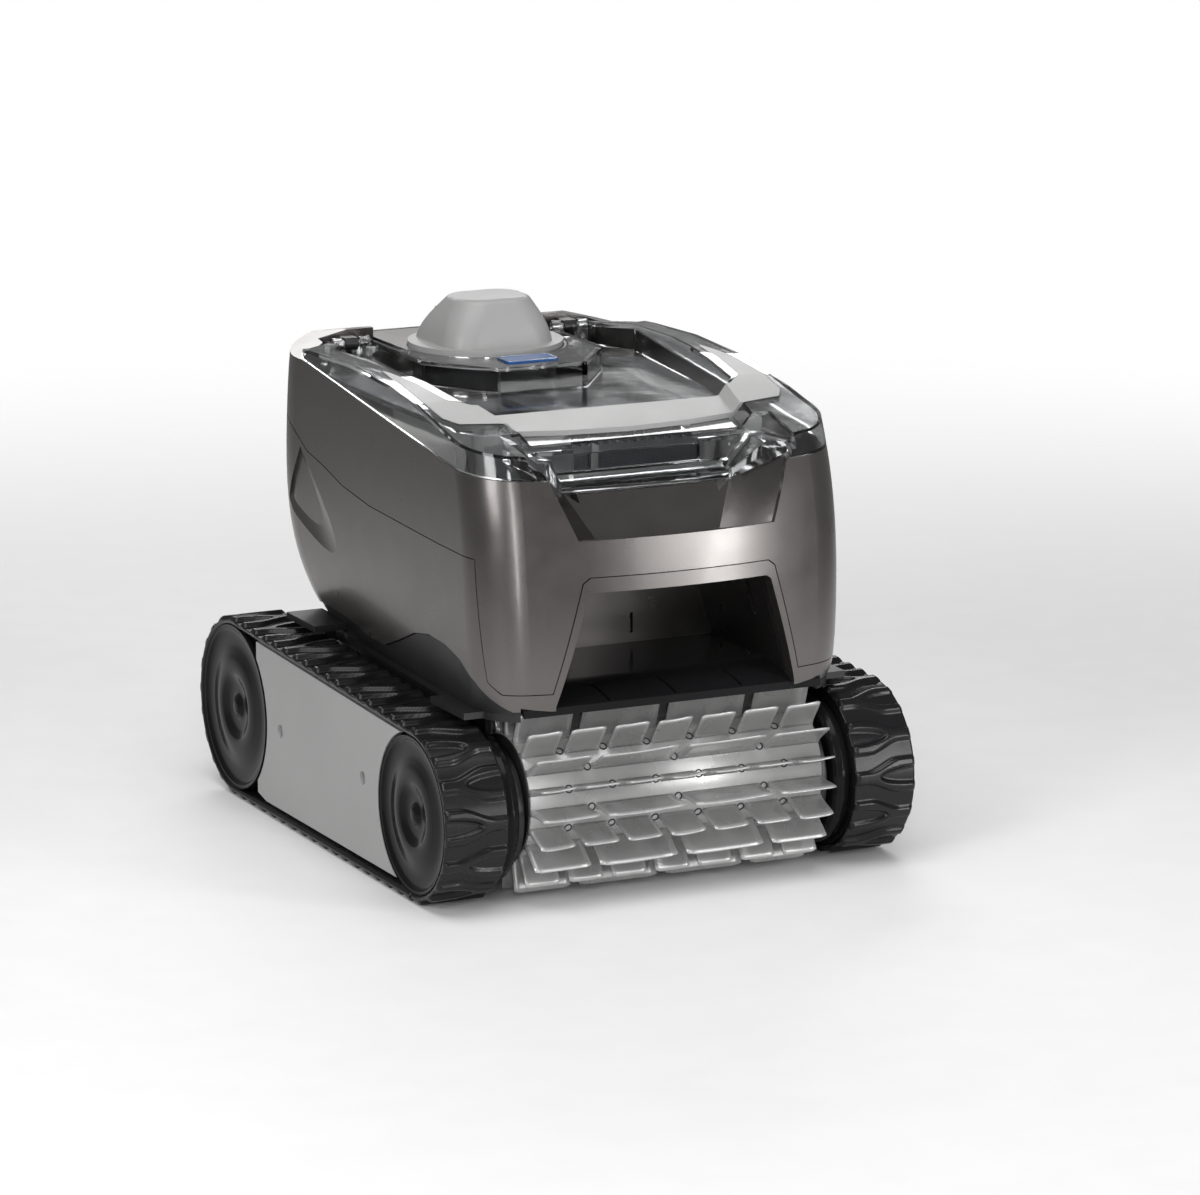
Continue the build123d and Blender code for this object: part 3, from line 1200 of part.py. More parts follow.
for make in (make_upper_shell, make_lower_hull, make_arch_liner, make_front_panel, make_rear_deck,
             make_outlet,
             make_motor_block, make_lid, make_grip, make_brackets, make_wheels, make_brush_drive, make_brush,
             make_chassis, make_side_frames, make_filter, make_intake, make_drives):
    make()
make_track(-1, "track_left")
make_track(1, "track_right")
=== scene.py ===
"""Looks of the tracked pool cleaner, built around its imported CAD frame. Units are metres."""

import json
from math import atan2, cos, exp, hypot, pi, radians, sin, sqrt

import bmesh
import bpy
from mathutils import Matrix, Vector


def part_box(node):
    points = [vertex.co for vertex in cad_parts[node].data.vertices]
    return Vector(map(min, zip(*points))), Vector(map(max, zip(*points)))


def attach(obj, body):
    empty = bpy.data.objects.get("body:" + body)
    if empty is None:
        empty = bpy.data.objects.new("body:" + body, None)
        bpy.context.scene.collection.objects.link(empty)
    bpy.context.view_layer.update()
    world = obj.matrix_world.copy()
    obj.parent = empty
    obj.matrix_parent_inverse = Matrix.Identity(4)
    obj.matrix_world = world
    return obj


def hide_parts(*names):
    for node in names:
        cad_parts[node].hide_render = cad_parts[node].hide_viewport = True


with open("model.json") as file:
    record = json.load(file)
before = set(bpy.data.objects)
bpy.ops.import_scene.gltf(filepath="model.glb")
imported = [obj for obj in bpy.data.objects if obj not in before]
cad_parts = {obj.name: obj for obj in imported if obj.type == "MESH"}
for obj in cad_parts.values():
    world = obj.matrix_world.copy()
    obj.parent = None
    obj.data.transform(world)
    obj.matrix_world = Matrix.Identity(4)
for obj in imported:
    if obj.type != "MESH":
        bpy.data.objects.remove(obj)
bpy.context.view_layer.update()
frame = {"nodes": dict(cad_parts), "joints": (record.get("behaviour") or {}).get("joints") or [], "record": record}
NODES = frame["nodes"]
SIDES = ((-1, "left"), (1, "right"))
MM = 0.001


# ---------------------------------------------------------------- materials
class Shader:
    """A Principled material with procedural colour, roughness and bump in object coordinates."""

    def __init__(self, name):
        self.material = bpy.data.materials.new(name)
        self.material.use_nodes = True
        self.tree = self.material.node_tree
        self.bsdf = self.tree.nodes["Principled BSDF"]
        self.place = self.add("ShaderNodeTexCoord").outputs["Object"]
        self.height = None

    def add(self, kind, **values):
        node = self.tree.nodes.new(kind)
        for key, value in values.items():
            setattr(node, key, value)
        return node

    def link(self, source, target):
        self.tree.links.new(source, target)

    def noise(self, scale, detail=3.0, stretch=(1, 1, 1)):
        mapping = self.add("ShaderNodeMapping")
        mapping.inputs["Scale"].default_value = stretch
        self.link(self.place, mapping.inputs["Vector"])
        texture = self.add("ShaderNodeTexNoise")
        texture.inputs["Scale"].default_value = scale
        texture.inputs["Detail"].default_value = detail
        self.link(mapping.outputs["Vector"], texture.inputs["Vector"])
        return texture.outputs["Fac"]

    def ramp(self, source, stops):
        node = self.add("ShaderNodeValToRGB")
        while len(node.color_ramp.elements) < len(stops):
            node.color_ramp.elements.new(0.5)
        for element, (place, value) in zip(node.color_ramp.elements, stops):
            element.position = place
            element.color = (*value, 1) if hasattr(value, "__len__") else (value, value, value, 1)
        self.link(source, node.inputs["Fac"])
        return node.outputs["Color"]

    def mix(self, factor, first, second):
        node = self.add("ShaderNodeMix", data_type="RGBA")
        sockets = [s for s in node.inputs if s.type == "RGBA"]
        for value, socket in zip((first, second), sockets):
            if hasattr(value, "is_linked"):
                self.link(value, socket)
            else:
                socket.default_value = (*value, 1)
        factors = [s for s in node.inputs if s.type == "VALUE"]
        self.link(factor, factors[0])
        return [s for s in node.outputs if s.type == "RGBA"][0]

    def bump(self, source, strength, distance):
        node = self.add("ShaderNodeBump")
        node.inputs["Strength"].default_value = strength
        node.inputs["Distance"].default_value = distance
        self.link(source, node.inputs["Height"])
        if self.height is not None:
            self.link(self.height, node.inputs["Normal"])
        self.height = node.outputs["Normal"]
        self.link(self.height, self.bsdf.inputs["Normal"])

    def set(self, **values):
        for key, value in values.items():
            self.bsdf.inputs[key.replace("_", " ")].default_value = value


def moulded(name, dark, light, rough, grain=0.0, coat=0.0, metallic=0.0, wear=0.0, ior=1.45):
    """Moulded plastic or rubber: cloudy colour, uneven gloss, fine grain and rubbed edges."""
    shader = Shader(name)
    color = shader.ramp(shader.noise(9.0, 5.0), [(0.3, dark), (0.7, light)])
    if wear:
        edge = shader.add("ShaderNodeNewGeometry").outputs["Pointiness"]
        mask = shader.ramp(edge, [(0.52, 0.0), (0.62, wear)])
        color = shader.mix(mask, color, tuple(min(1.0, c * 2.2 + 0.05) for c in light))
    shader.link(color, shader.bsdf.inputs["Base Color"])
    gloss = shader.ramp(shader.noise(38.0, 4.0), [(0.3, rough[0]), (0.75, rough[1])])
    shader.link(gloss, shader.bsdf.inputs["Roughness"])
    if grain:
        shader.bump(shader.noise(1500.0, 2.0), grain, 0.0004)
    shader.bump(shader.noise(26.0, 2.0), 0.05, 0.0015)
    shader.set(Metallic=metallic, Coat_Weight=coat, Coat_Roughness=0.08, IOR=ior)
    return shader.material


def flake_paint(name, dark, light):
    """Taupe paint with metal flake under a satin lacquer."""
    shader = Shader(name)
    flakes = shader.add("ShaderNodeTexVoronoi")
    flakes.inputs["Scale"].default_value = 2600.0
    shader.link(shader.place, flakes.inputs["Vector"])
    sparkle = shader.ramp(flakes.outputs["Color"], [(0.2, dark), (0.8, light)])
    cloud = shader.ramp(shader.noise(5.0, 3.0), [(0.35, dark), (0.65, light)])
    mask = shader.ramp(shader.noise(9.0, 2.0), [(0.3, 0.68), (0.7, 0.78)])
    shader.link(shader.mix(mask, sparkle, cloud), shader.bsdf.inputs["Base Color"])
    gloss = shader.ramp(shader.noise(60.0, 4.0), [(0.3, 0.27), (0.75, 0.33)])
    shader.link(gloss, shader.bsdf.inputs["Roughness"])
    shader.bump(shader.noise(320.0, 2.0), 0.03, 0.0003)
    shader.set(Metallic=0.88, Coat_Weight=0.3, Coat_Roughness=0.12)
    return shader.material


def clear_plastic(name, tint, rough=0.03):
    """Clear polycarbonate with faint flow marks and fine scratches."""
    shader = Shader(name)
    lighter = tuple(min(1, c * 1.04) for c in tint)
    color = shader.ramp(shader.noise(14.0, 3.0), [(0.3, tint), (0.7, lighter)])
    shader.link(color, shader.bsdf.inputs["Base Color"])
    gloss = shader.ramp(shader.noise(70.0, 5.0, (1, 0.15, 1)), [(0.35, rough), (0.8, rough + 0.07)])
    shader.link(gloss, shader.bsdf.inputs["Roughness"])
    shader.bump(shader.noise(30.0, 2.0), 0.12, 0.0012)
    shader.set(Transmission_Weight=1.0, IOR=1.5)
    return shader.material


def brushed_metal(name, dark, light):
    """Turned or brushed steel with streaks along its length."""
    shader = Shader(name)
    streaks = shader.noise(260.0, 4.0, (1, 0.05, 1))
    shader.link(shader.ramp(streaks, [(0.3, dark), (0.7, light)]), shader.bsdf.inputs["Base Color"])
    shader.link(shader.ramp(streaks, [(0.3, 0.22), (0.7, 0.4)]), shader.bsdf.inputs["Roughness"])
    shader.bump(streaks, 0.08, 0.0003)
    shader.set(Metallic=1.0)
    return shader.material


def woven(name, dark, light):
    """Fine square filter weave."""
    shader = Shader(name)
    bands = []
    for direction in ("X", "Z"):
        wave = shader.add("ShaderNodeTexWave", bands_direction=direction)
        wave.inputs["Scale"].default_value = 420.0
        shader.link(shader.place, wave.inputs["Vector"])
        bands.append(wave.outputs["Fac"])
    cross = shader.add("ShaderNodeMath", operation="MAXIMUM")
    shader.link(bands[0], cross.inputs[0])
    shader.link(bands[1], cross.inputs[1])
    color = shader.ramp(cross.outputs[0], [(0.4, dark), (0.9, light)])
    shader.link(color, shader.bsdf.inputs["Base Color"])
    shader.link(shader.ramp(shader.noise(40.0), [(0.3, 0.5), (0.8, 0.75)]), shader.bsdf.inputs["Roughness"])
    shader.bump(cross.outputs[0], 0.5, 0.0004)
    return shader.material


TAUPE = flake_paint("taupe_paint", (0.128, 0.119, 0.115), (0.170, 0.159, 0.154))
TAUPE_DARK = flake_paint("taupe_paint_dark", (0.085, 0.079, 0.077), (0.112, 0.105, 0.102))
LIGHT_GREY = moulded("light_grey_plastic", (0.31, 0.31, 0.308), (0.345, 0.345, 0.342),
                     (0.36, 0.45), grain=0.06)
CLEAR = clear_plastic("clear_lid_plastic", (0.93, 0.94, 0.95))
BLACK_GLOSS = moulded("black_gloss_plastic", (0.006, 0.006, 0.0065), (0.011, 0.011, 0.012),
                      (0.14, 0.22), ior=1.2)
BLACK_SATIN = moulded("black_satin_plastic", (0.010, 0.010, 0.011), (0.018, 0.018, 0.019),
                      (0.32, 0.45), grain=0.10, wear=0.06)
TRACK_RUBBER = moulded("track_rubber", (0.005, 0.005, 0.0055), (0.010, 0.010, 0.011),
                       (0.20, 0.32), grain=0.05, ior=1.36)
BRUSH_RUBBER = moulded("brush_rubber", (0.30, 0.30, 0.298), (0.38, 0.38, 0.377),
                       (0.24, 0.34), grain=0.05, metallic=0.35, wear=0.3)
BADGE_BLUE = moulded("badge_blue", (0.012, 0.10, 0.36), (0.02, 0.14, 0.46), (0.10, 0.16), coat=0.8)
BADGE_RIM = moulded("badge_rim", (0.32, 0.36, 0.40), (0.42, 0.46, 0.50), (0.2, 0.3), metallic=0.6)
STEEL = brushed_metal("brushed_steel", (0.45, 0.45, 0.46), (0.66, 0.66, 0.67))
BEARING = moulded("bearing_plastic", (0.60, 0.59, 0.54), (0.70, 0.69, 0.64), (0.45, 0.6), grain=0.1)
MESH_GREY = woven("filter_weave", (0.05, 0.055, 0.06), (0.20, 0.21, 0.22))
BOARD_GREEN = moulded("solder_mask", (0.02, 0.13, 0.05), (0.03, 0.18, 0.07), (0.3, 0.4))
FOAM = moulded("closed_cell_foam", (0.70, 0.70, 0.66), (0.80, 0.80, 0.76), (0.75, 0.9), grain=0.6)

SLOT_MATERIALS = {
    "taupe_shell": TAUPE, "taupe_dark": TAUPE_DARK, "light_grey": LIGHT_GREY, "clear_lid": CLEAR,
    "black_gloss": BLACK_GLOSS, "black_satin": BLACK_SATIN, "track_rubber": TRACK_RUBBER,
    "brush_rubber": BRUSH_RUBBER, "badge_blue": BADGE_BLUE, "steel": STEEL, "bearing_plastic": BEARING,
    "mesh_grey": MESH_GREY, "board_green": BOARD_GREEN, "foam": FOAM,
}


# ---------------------------------------------------------------- mesh helpers
SHARP_ANGLE = 32.0


def piece(name, mesh, material, body, replaces=()):
    """Finish a bmesh as a named, smooth-shaded piece that rides on a body."""
    bmesh.ops.recalc_face_normals(mesh, faces=mesh.faces)
    data = bpy.data.meshes.new(name)
    mesh.to_mesh(data)
    mesh.free()
    for polygon in data.polygons:
        polygon.use_smooth = True
    obj = bpy.data.objects.new(name, data)
    bpy.context.scene.collection.objects.link(obj)
    obj.data.materials.append(material)
    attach(obj, body)
    if replaces:
        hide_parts(*replaces)
    return obj


def soften(obj, width):
    """Round an object's sharp edges and even out its shading."""
    bevel = obj.modifiers.new("edge_round", "BEVEL")
    bevel.width = width
    bevel.segments = 2
    bevel.limit_method = "ANGLE"
    bevel.angle_limit = radians(SHARP_ANGLE)
    bevel.harden_normals = True
    normals = obj.modifiers.new("even_shading", "WEIGHTED_NORMAL")
    normals.keep_sharp = True


def lathe(outline, steps=96):
    """Revolve (along, radius) points about the X axis at the origin, closed at the axis."""
    mesh = bmesh.new()
    rings = []
    for along, radius in outline:
        if radius < 1e-7:
            rings.append([mesh.verts.new((along, 0, 0))])
            continue
        turns = [2 * pi * k / steps for k in range(steps)]
        rings.append([mesh.verts.new((along, radius * cos(turn), radius * sin(turn))) for turn in turns])
    for first, second in zip(rings, rings[1:]):
        for k in range(steps):
            corners = [first[k % len(first)], first[(k + 1) % len(first)],
                       second[(k + 1) % len(second)], second[k % len(second)]]
            unique = list(dict.fromkeys(corners))
            if len(unique) > 2:
                mesh.faces.new(unique)
    return mesh


def smooth_curve(points, steps=8):
    """Catmull-Rom samples through (a, b) points."""
    ends = [points[0]] + list(points) + [points[-1]]
    samples = []
    for k in range(1, len(ends) - 2):
        p0, p1, p2, p3 = ends[k - 1:k + 3]
        for j in range(steps):
            t = j / steps
            samples.append(tuple(
                0.5 * (2 * b + (c - a) * t + (2 * a - 5 * b + 4 * c - d) * t * t
                       + (3 * b - a - 3 * c + d) * t ** 3)
                for a, b, c, d in zip(p0, p1, p2, p3)))
    samples.append(points[-1])
    return samples


def moved(mesh, matrix):
    bmesh.ops.transform(mesh, matrix=matrix, verts=mesh.verts)
    return mesh


# ---------------------------------------------------------------- CAD nodes
WELD_DISTANCE = 0.002 * MM
EDGE_ROUND = 0.35 * MM
# These keep the plain shading of their CAD mesh: the thin weave, wide shallow surfaces and replaced nodes.
PLAIN_NODES = {"filter_mesh", "track_left", "track_right", "brush_sleeve", "side_panel_left",
               "side_panel_right", "lower_hull", "upper_shell"}
slot_of_node = {row["node"]: row["material_slot"] for row in frame["record"]["subparts"]}
for node_name, node in NODES.items():
    node.data.materials.clear()
    node.data.materials.append(SLOT_MATERIALS[slot_of_node[node_name]])
    for polygon in node.data.polygons:
        polygon.use_smooth = True
    if node_name in PLAIN_NODES:
        continue
    weld = node.modifiers.new("join_faces", "WELD")
    weld.merge_threshold = WELD_DISTANCE
    soften(node, EDGE_ROUND)


# ---------------------------------------------------------------- tracks
TRACK_WIDTH = 35 * MM
BELT_BASE = 2.4 * MM
LUG_HEIGHT = 2.3 * MM
LUGS = 36


def wheel_axes():
    """Front and rear wheel axles (y, z) from the joints."""
    found = {}
    for joint in frame["joints"]:
        found[joint["name"]] = (joint["pos_m"][1], joint["pos_m"][2])
    return found["front_wheel_left"], found["rear_wheel_left"]


FRONT_AXLE, REAR_AXLE = wheel_axes()
WHEELBASE = REAR_AXLE[0] - FRONT_AXLE[0]


def belt_runs():
    """Lengths and radii of the belt's base surface: floor run, rear arc, top run, front arc."""
    front, rear = FRONT_AXLE[1] - LUG_HEIGHT, REAR_AXLE[1] - LUG_HEIGHT
    tilt = 2 * atan2(REAR_AXLE[1] - FRONT_AXLE[1], WHEELBASE)
    top = hypot(WHEELBASE, REAR_AXLE[1] - FRONT_AXLE[1]) * cos(tilt / 2)
    return front, rear, tilt, top


BELT_FRONT, BELT_REAR, BELT_TILT, BELT_TOP = belt_runs()
BELT_LENGTH = WHEELBASE + BELT_REAR * (pi - BELT_TILT) + BELT_TOP + BELT_FRONT * (pi + BELT_TILT)


def on_belt(along, height):
    """Y and Z of a point a distance along the belt and a height above its base surface."""
    along %= BELT_LENGTH
    if along < WHEELBASE:
        return FRONT_AXLE[0] + along, LUG_HEIGHT - height
    along -= WHEELBASE
    if along < BELT_REAR * (pi - BELT_TILT):
        angle = -pi / 2 + along / BELT_REAR
        radius = BELT_REAR + height
        return REAR_AXLE[0] + radius * cos(angle), REAR_AXLE[1] + radius * sin(angle)
    along -= BELT_REAR * (pi - BELT_TILT)
    angle = pi / 2 + BELT_TILT
    if along < BELT_TOP:
        y = REAR_AXLE[0] + (BELT_REAR + height) * cos(angle) - along * cos(BELT_TILT)
        z = REAR_AXLE[1] + (BELT_REAR + height) * sin(angle) - along * sin(BELT_TILT)
        return y, z
    along -= BELT_TOP
    angle += along / BELT_FRONT
    radius = BELT_FRONT + height
    return FRONT_AXLE[0] + radius * cos(angle), FRONT_AXLE[1] + radius * sin(angle)


def ease(value, low, high):
    t = min(1.0, max(0.0, (value - low) / (high - low)))
    return t * t * (3 - 2 * t)


def lug_height(along, across):
    """Height of the tread, where across runs 0 to 1 over the belt's width."""
    pitch = BELT_LENGTH / LUGS
    nearest = int(along // pitch)
    height = 0.0
    for lug in (nearest - 1, nearest, nearest + 1):
        offset = abs(along - (lug + 0.5) * pitch)
        share = across if lug % 2 else 1 - across
        half = (9.4 - 5.8 * ease(share, 0.25, 0.8)) * MM
        body = 1 - ease(offset, half - 1.5 * MM, half + 0.3 * MM)
        if share < 0.60:
            pocket_half = 5.0 * MM * sqrt(max(0.0, 1 - (share / 0.60) ** 2))
            body *= ease(offset, pocket_half - 1.5 * MM, pocket_half + 0.2 * MM) if pocket_half > 0 else 1
        height = max(height, body)
    ends = ease(min(across, 1 - across), 0.0, 0.045)
    return LUG_HEIGHT * height * (0.35 + 0.65 * ends)


def make_track(side, hand):
    """One rubber band whose tread has Y-shaped lugs that open to its two edges in turn."""
    steps, columns = 1080, 44
    inner = min(abs(v.x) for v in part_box(f"track_{hand}"))
    mesh = bmesh.new()
    rows = []
    for step in range(steps):
        along = BELT_LENGTH * step / steps
        row = []
        for column in range(columns + 1):
            across = column / columns
            y, z = on_belt(along, lug_height(along, across))
            row.append(mesh.verts.new((side * (inner + across * TRACK_WIDTH), y, z)))
        for x, height in ((TRACK_WIDTH, -0.8 * MM), (TRACK_WIDTH - 0.5 * MM, -BELT_BASE),
                          (0.5 * MM, -BELT_BASE), (0, -0.8 * MM)):
            y, z = on_belt(along, height)
            row.append(mesh.verts.new((side * (inner + x), y, z)))
        rows.append(row)
    count = len(rows[0])
    for first, second in zip(rows, rows[1:] + rows[:1]):
        for k in range(count):
            mesh.faces.new((first[k], first[(k + 1) % count], second[(k + 1) % count], second[k]))
    piece(f"tread_{hand}", mesh, TRACK_RUBBER, "root", [f"track_{hand}"])


for side, hand in SIDES:
    make_track(side, hand)


# ---------------------------------------------------------------- hubcaps
HUBCAP_SINK = 0.15
HUBCAP_GAP = 0.25 * MM


def make_hubcap(side, hand, end, axle):
    """Gloss dish with a raised lip, a rolled ring and a small domed hub in its middle.

    The profile runs inwards from the lip, as (millimetres out from the face, share of the radius).
    """
    node = f"{end}_hubcap_{hand}"
    low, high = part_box(node)
    radius = (high.z - low.z) / 2 - HUBCAP_GAP
    face = max(abs(low.x), abs(high.x))
    back_x = min(abs(low.x), abs(high.x))
    profile = [(0.0, 1.0), (-0.6, 0.985), (-0.9, 0.955), (-1.9, 0.925), (-2.6, 0.86), (-2.7, 0.76),
               (-2.0, 0.66), (-1.1, 0.56), (-0.75, 0.48), (-1.0, 0.41), (-2.0, 0.35), (-3.0, 0.28),
               (-3.4, 0.20), (-3.2, 0.15), (-2.2, 0.115), (-1.2, 0.08), (-0.8, 0.04), (-0.7, 0.0)]
    outline = [(side * (face + (depth - HUBCAP_SINK) * MM), share * radius)
               for depth, share in smooth_curve(profile, 5)]
    outline = [(side * back_x, 0), (side * back_x, radius - 1.2 * MM), (side * (back_x + 1 * MM), radius),
               (side * (face - 0.4 * MM), radius)] + outline[1:]
    mesh = moved(lathe(outline, 128), Matrix.Translation((0, *axle)))
    piece(f"{end}_dish_{hand}", mesh, BLACK_GLOSS, f"{end}_wheel_{hand}", [node])


for side, hand in SIDES:
    make_hubcap(side, hand, "front", FRONT_AXLE)
    make_hubcap(side, hand, "rear", REAR_AXLE)


# ---------------------------------------------------------------- badge rim
def make_badge_rim():
    """Thin bright frame round the plain badge."""
    low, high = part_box("lid_badge")
    middle = (low + high) / 2
    mesh = bmesh.new()
    loops = []
    for inset, height in ((0.0, -0.3), (0.0, 0.12), (0.15, 0.22), (0.75, 0.22), (0.9, 0.12), (0.9, -0.3)):
        half_x = (high.x - low.x) / 2 - inset * MM
        half_y = (high.y - low.y) / 2 - inset * MM
        corner = (3.0 - inset) * MM
        loop = []
        for quarter, (sx, sy) in enumerate(((1, 1), (-1, 1), (-1, -1), (1, -1))):
            for step in range(9):
                angle = pi / 2 * (quarter + step / 8)
                loop.append(mesh.verts.new((middle.x + sx * (half_x - corner) + corner * cos(angle),
                                            middle.y + sy * (half_y - corner) + corner * sin(angle),
                                            high.z + height * MM)))
        loops.append(loop)
    for first, second in zip(loops, loops[1:] + loops[:1]):
        for k in range(len(first)):
            mesh.faces.new((first[k], first[(k + 1) % len(first)], second[(k + 1) % len(first)], second[k]))
    piece("badge_frame", mesh, BADGE_RIM, "lid")


make_badge_rim()


# ---------------------------------------------------------------- brush
BRUSH_AXIS = next((j["pos_m"][1], j["pos_m"][2]) for j in frame["joints"] if j["name"] == "brush")
BRUSH_CORE = 33.5 * MM
BRUSH_TIP = 51.0 * MM
BRUSH_HALF = 84.0 * MM
BLADE_ROWS = 20
WIDE_SLOTS = (-49.6, 0.0, 49.6)
NARROW_SLOTS = (-62.0, -37.2, -12.4, 12.4, 37.2, 62.0)
SLOT_HALF = 2.75 * MM
BLADE_TURN = 2.6


def blade(mesh, start, end, turn, bend):
    """Add one thin paddle with a thick root, a slight lean and softly curved corners."""
    columns, rows = 10, 7
    front, rear = [], []
    for column in range(columns + 1):
        u = column / columns
        x = start + (end - start) * u
        corner = min(u, 1 - u) * (end - start)
        for row in range(rows + 1):
            t = row / rows
            reach = BRUSH_TIP - 0.5 * MM - (0.9 * MM * (1 - ease(corner, 0, 2.5 * MM)))
            radius = BRUSH_CORE - 0.6 * MM + (reach - BRUSH_CORE + 0.6 * MM) * t
            lean = bend * (t ** 2) * sin(pi * u + 0.6)
            half = (0.62 + 1.5 * exp(-t * 9)) * MM * (0.55 if row == rows else 1)
            for rib, sign in ((front, 1), (rear, -1)):
                across = lean + sign * half
                y = radius * cos(turn) - across * sin(turn)
                z = radius * sin(turn) + across * cos(turn)
                rib.append(mesh.verts.new((x, BRUSH_AXIS[0] + y, BRUSH_AXIS[1] + z)))
    size = rows + 1

    def spot(rib, column, row):
        return rib[column * size + row]

    for column in range(columns):
        for row in range(rows):
            for rib in (front, rear):
                mesh.faces.new((spot(rib, column, row), spot(rib, column + 1, row),
                                spot(rib, column + 1, row + 1), spot(rib, column, row + 1)))
        for row in (0, rows):
            mesh.faces.new((spot(front, column, row), spot(front, column + 1, row),
                            spot(rear, column + 1, row), spot(rear, column, row)))
    for column in (0, columns):
        for row in range(rows):
            mesh.faces.new((spot(front, column, row), spot(front, column, row + 1),
                            spot(rear, column, row + 1), spot(rear, column, row)))


def make_brush():
    """Rubber sleeve, paddles in two alternating patterns, and a small hole at the root of each slot, drawn as a
    black ring over a sunk black disc: painted shade for the dark inside of the hole.
    """
    sleeve = lathe([(-BRUSH_HALF, BRUSH_CORE - 3 * MM), (-BRUSH_HALF, BRUSH_CORE - 0.4 * MM),
                    (-BRUSH_HALF + 0.4 * MM, BRUSH_CORE), (BRUSH_HALF - 0.4 * MM, BRUSH_CORE),
                    (BRUSH_HALF, BRUSH_CORE - 0.4 * MM), (BRUSH_HALF, BRUSH_CORE - 3 * MM)], 160)
    moved(sleeve, Matrix.Translation((0, *BRUSH_AXIS)))
    piece("sleeve_tube", sleeve, BRUSH_RUBBER, "brush", ["brush_sleeve"])
    blades = bmesh.new()
    # Black rings and sunk discs at the slot roots: painted shade standing for the dark inside of the holes.
    hole_shade = bmesh.new()
    for row in range(BLADE_ROWS):
        slots = WIDE_SLOTS if row % 2 == 0 else NARROW_SLOTS
        turn = radians(BLADE_TURN + 360 / BLADE_ROWS * row)
        edges = [-BRUSH_HALF] + [x * MM + s for x in slots for s in (-SLOT_HALF, SLOT_HALF)] + [BRUSH_HALF]
        for number, (start, end) in enumerate(zip(edges[0::2], edges[1::2])):
            blade(blades, start, end, turn, (0.5 + 0.35 * sin(3.1 * row + 1.7 * number)) * MM)
        for x in slots:
            matrix = (Matrix.Translation((x * MM, *BRUSH_AXIS)) @ Matrix.Rotation(turn, 4, "X")
                      @ Matrix.Translation((0, BRUSH_CORE, 0)) @ Matrix.Rotation(pi / 2, 4, "Z"))
            rim = lathe([(-0.6 * MM, 0), (-0.6 * MM, 1.5 * MM), (0.35 * MM, 1.6 * MM),
                         (0.45 * MM, 1.9 * MM), (0.35 * MM, 2.2 * MM), (-0.6 * MM, 2.3 * MM)], 20)
            moved(rim, matrix)
            scratch = bpy.data.meshes.new("hole")
            rim.to_mesh(scratch)
            rim.free()
            hole_shade.from_mesh(scratch)
            bpy.data.meshes.remove(scratch)
    piece("brush_paddles", blades, BRUSH_RUBBER, "brush")
    piece("brush_hole_shade", hole_shade, BLACK_SATIN, "brush")


make_brush()


# ---------------------------------------------------------------- studio
# The floor is solid near the machine and fades out into the white surroundings.
FLOOR_SOLID = 0.45
FLOOR_GONE = 1.5


def make_floor():
    mesh = bmesh.new()
    bmesh.ops.create_grid(mesh, x_segments=2, y_segments=2, size=6)
    data = bpy.data.meshes.new("studio_floor")
    mesh.to_mesh(data)
    mesh.free()
    floor = bpy.data.objects.new("studio_floor", data)
    bpy.context.scene.collection.objects.link(floor)
    shader = Shader("floor_paper")
    paper = shader.ramp(shader.noise(30.0), [(0.3, (0.88, 0.88, 0.88)), (0.7, (0.90, 0.90, 0.90))])
    shader.link(paper, shader.bsdf.inputs["Base Color"])
    shader.set(Roughness=0.6)
    distance = shader.add("ShaderNodeVectorMath", operation="LENGTH")
    shader.link(shader.place, distance.inputs[0])
    fade = shader.add("ShaderNodeMapRange", interpolation_type="SMOOTHSTEP")
    fade.inputs["From Min"].default_value = FLOOR_SOLID
    fade.inputs["From Max"].default_value = FLOOR_GONE
    shader.link(distance.outputs["Value"], fade.inputs["Value"])
    blend = shader.add("ShaderNodeMixShader")
    shader.link(fade.outputs["Result"], blend.inputs["Fac"])
    shader.link(shader.bsdf.outputs[0], blend.inputs[1])
    shader.link(shader.add("ShaderNodeBsdfTransparent").outputs[0], blend.inputs[2])
    shader.link(blend.outputs[0], shader.tree.nodes["Material Output"].inputs["Surface"])
    data.materials.append(shader.material)


def area_light(name, place, target, size, power):
    light = bpy.data.lights.new(name, "AREA")
    light.shape = "RECTANGLE"
    light.size, light.size_y = size
    light.energy = power
    obj = bpy.data.objects.new(name, light)
    bpy.context.scene.collection.objects.link(obj)
    obj.location = place
    obj.rotation_euler = (Vector(target) - Vector(place)).to_track_quat("-Z", "Y").to_euler()


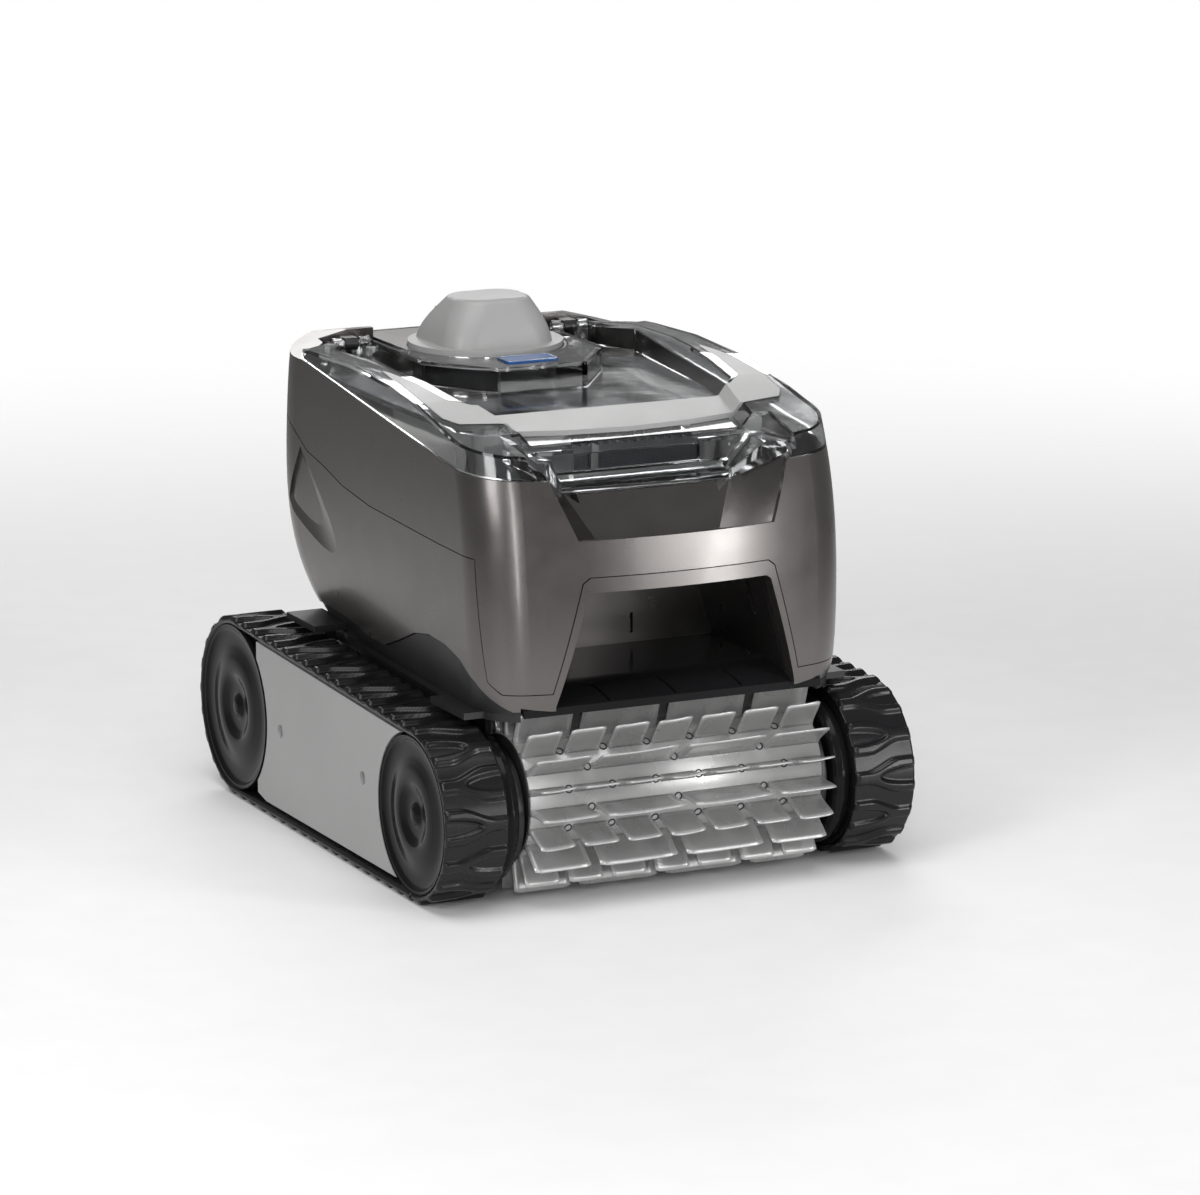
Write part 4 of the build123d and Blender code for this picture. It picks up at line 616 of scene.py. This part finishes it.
def make_studio():
    """Pale floor, white surroundings and soft boxes above, in front and on both sides."""
    make_floor()
    world = bpy.data.worlds.new("studio")
    bpy.context.scene.world = world
    world.use_nodes = True
    tree = world.node_tree
    for name, shade in (("Background", 0.20), ("seen", 1.0)):
        node = tree.nodes.get(name) or tree.nodes.new("ShaderNodeBackground")
        node.name = name
        node.inputs["Color"].default_value = (shade, shade, shade, 1)
    ray = tree.nodes.new("ShaderNodeLightPath").outputs["Is Camera Ray"]
    choice = tree.nodes.new("ShaderNodeMixShader")
    tree.links.new(ray, choice.inputs["Fac"])
    tree.links.new(tree.nodes["Background"].outputs[0], choice.inputs[1])
    tree.links.new(tree.nodes["seen"].outputs[0], choice.inputs[2])
    tree.links.new(choice.outputs[0], tree.nodes["World Output"].inputs["Surface"])
    middle = (0, 0, 0.12)
    area_light("key_top", (-0.2, -0.3, 1.5), middle, (1.3, 0.9), 13)
    area_light("left_box", (-1.5, -0.9, 0.9), middle, (0.6, 0.9), 12)
    area_light("front_strip_left", (-0.75, -1.7, 0.5), middle, (0.16, 1.1), 6)
    area_light("front_strip_right", (0.95, -1.5, 0.5), middle, (0.22, 1.1), 8)
    area_light("front_low", (0.95, -1.9, 0.28), middle, (0.9, 0.5), 6)
    area_light("back_strip", (0.6, 1.6, 1.0), middle, (1.2, 0.4), 8)


CAMERA_PLACE = (-1.251856, -2.664835, 0.782475)
CAMERA_AZIMUTH = radians(-25.686)
CAMERA_ELEVATION = radians(12.613)
CAMERA_LENS = 168.27


def make_camera():
    camera = bpy.data.cameras.new("camera")
    camera.lens = CAMERA_LENS
    camera.sensor_width = 36.0
    camera.clip_start, camera.clip_end = 0.05, 50.0
    obj = bpy.data.objects.new("camera", camera)
    bpy.context.scene.collection.objects.link(obj)
    obj.location = CAMERA_PLACE
    level = cos(CAMERA_ELEVATION)
    toward = Vector((-sin(CAMERA_AZIMUTH) * level, cos(CAMERA_AZIMUTH) * level, -sin(CAMERA_ELEVATION)))
    obj.rotation_mode = "QUATERNION"
    obj.rotation_quaternion = toward.to_track_quat("-Z", "Y")
    bpy.context.scene.camera = obj


make_studio()
make_camera()
bpy.context.scene.view_settings.view_transform = "Standard"
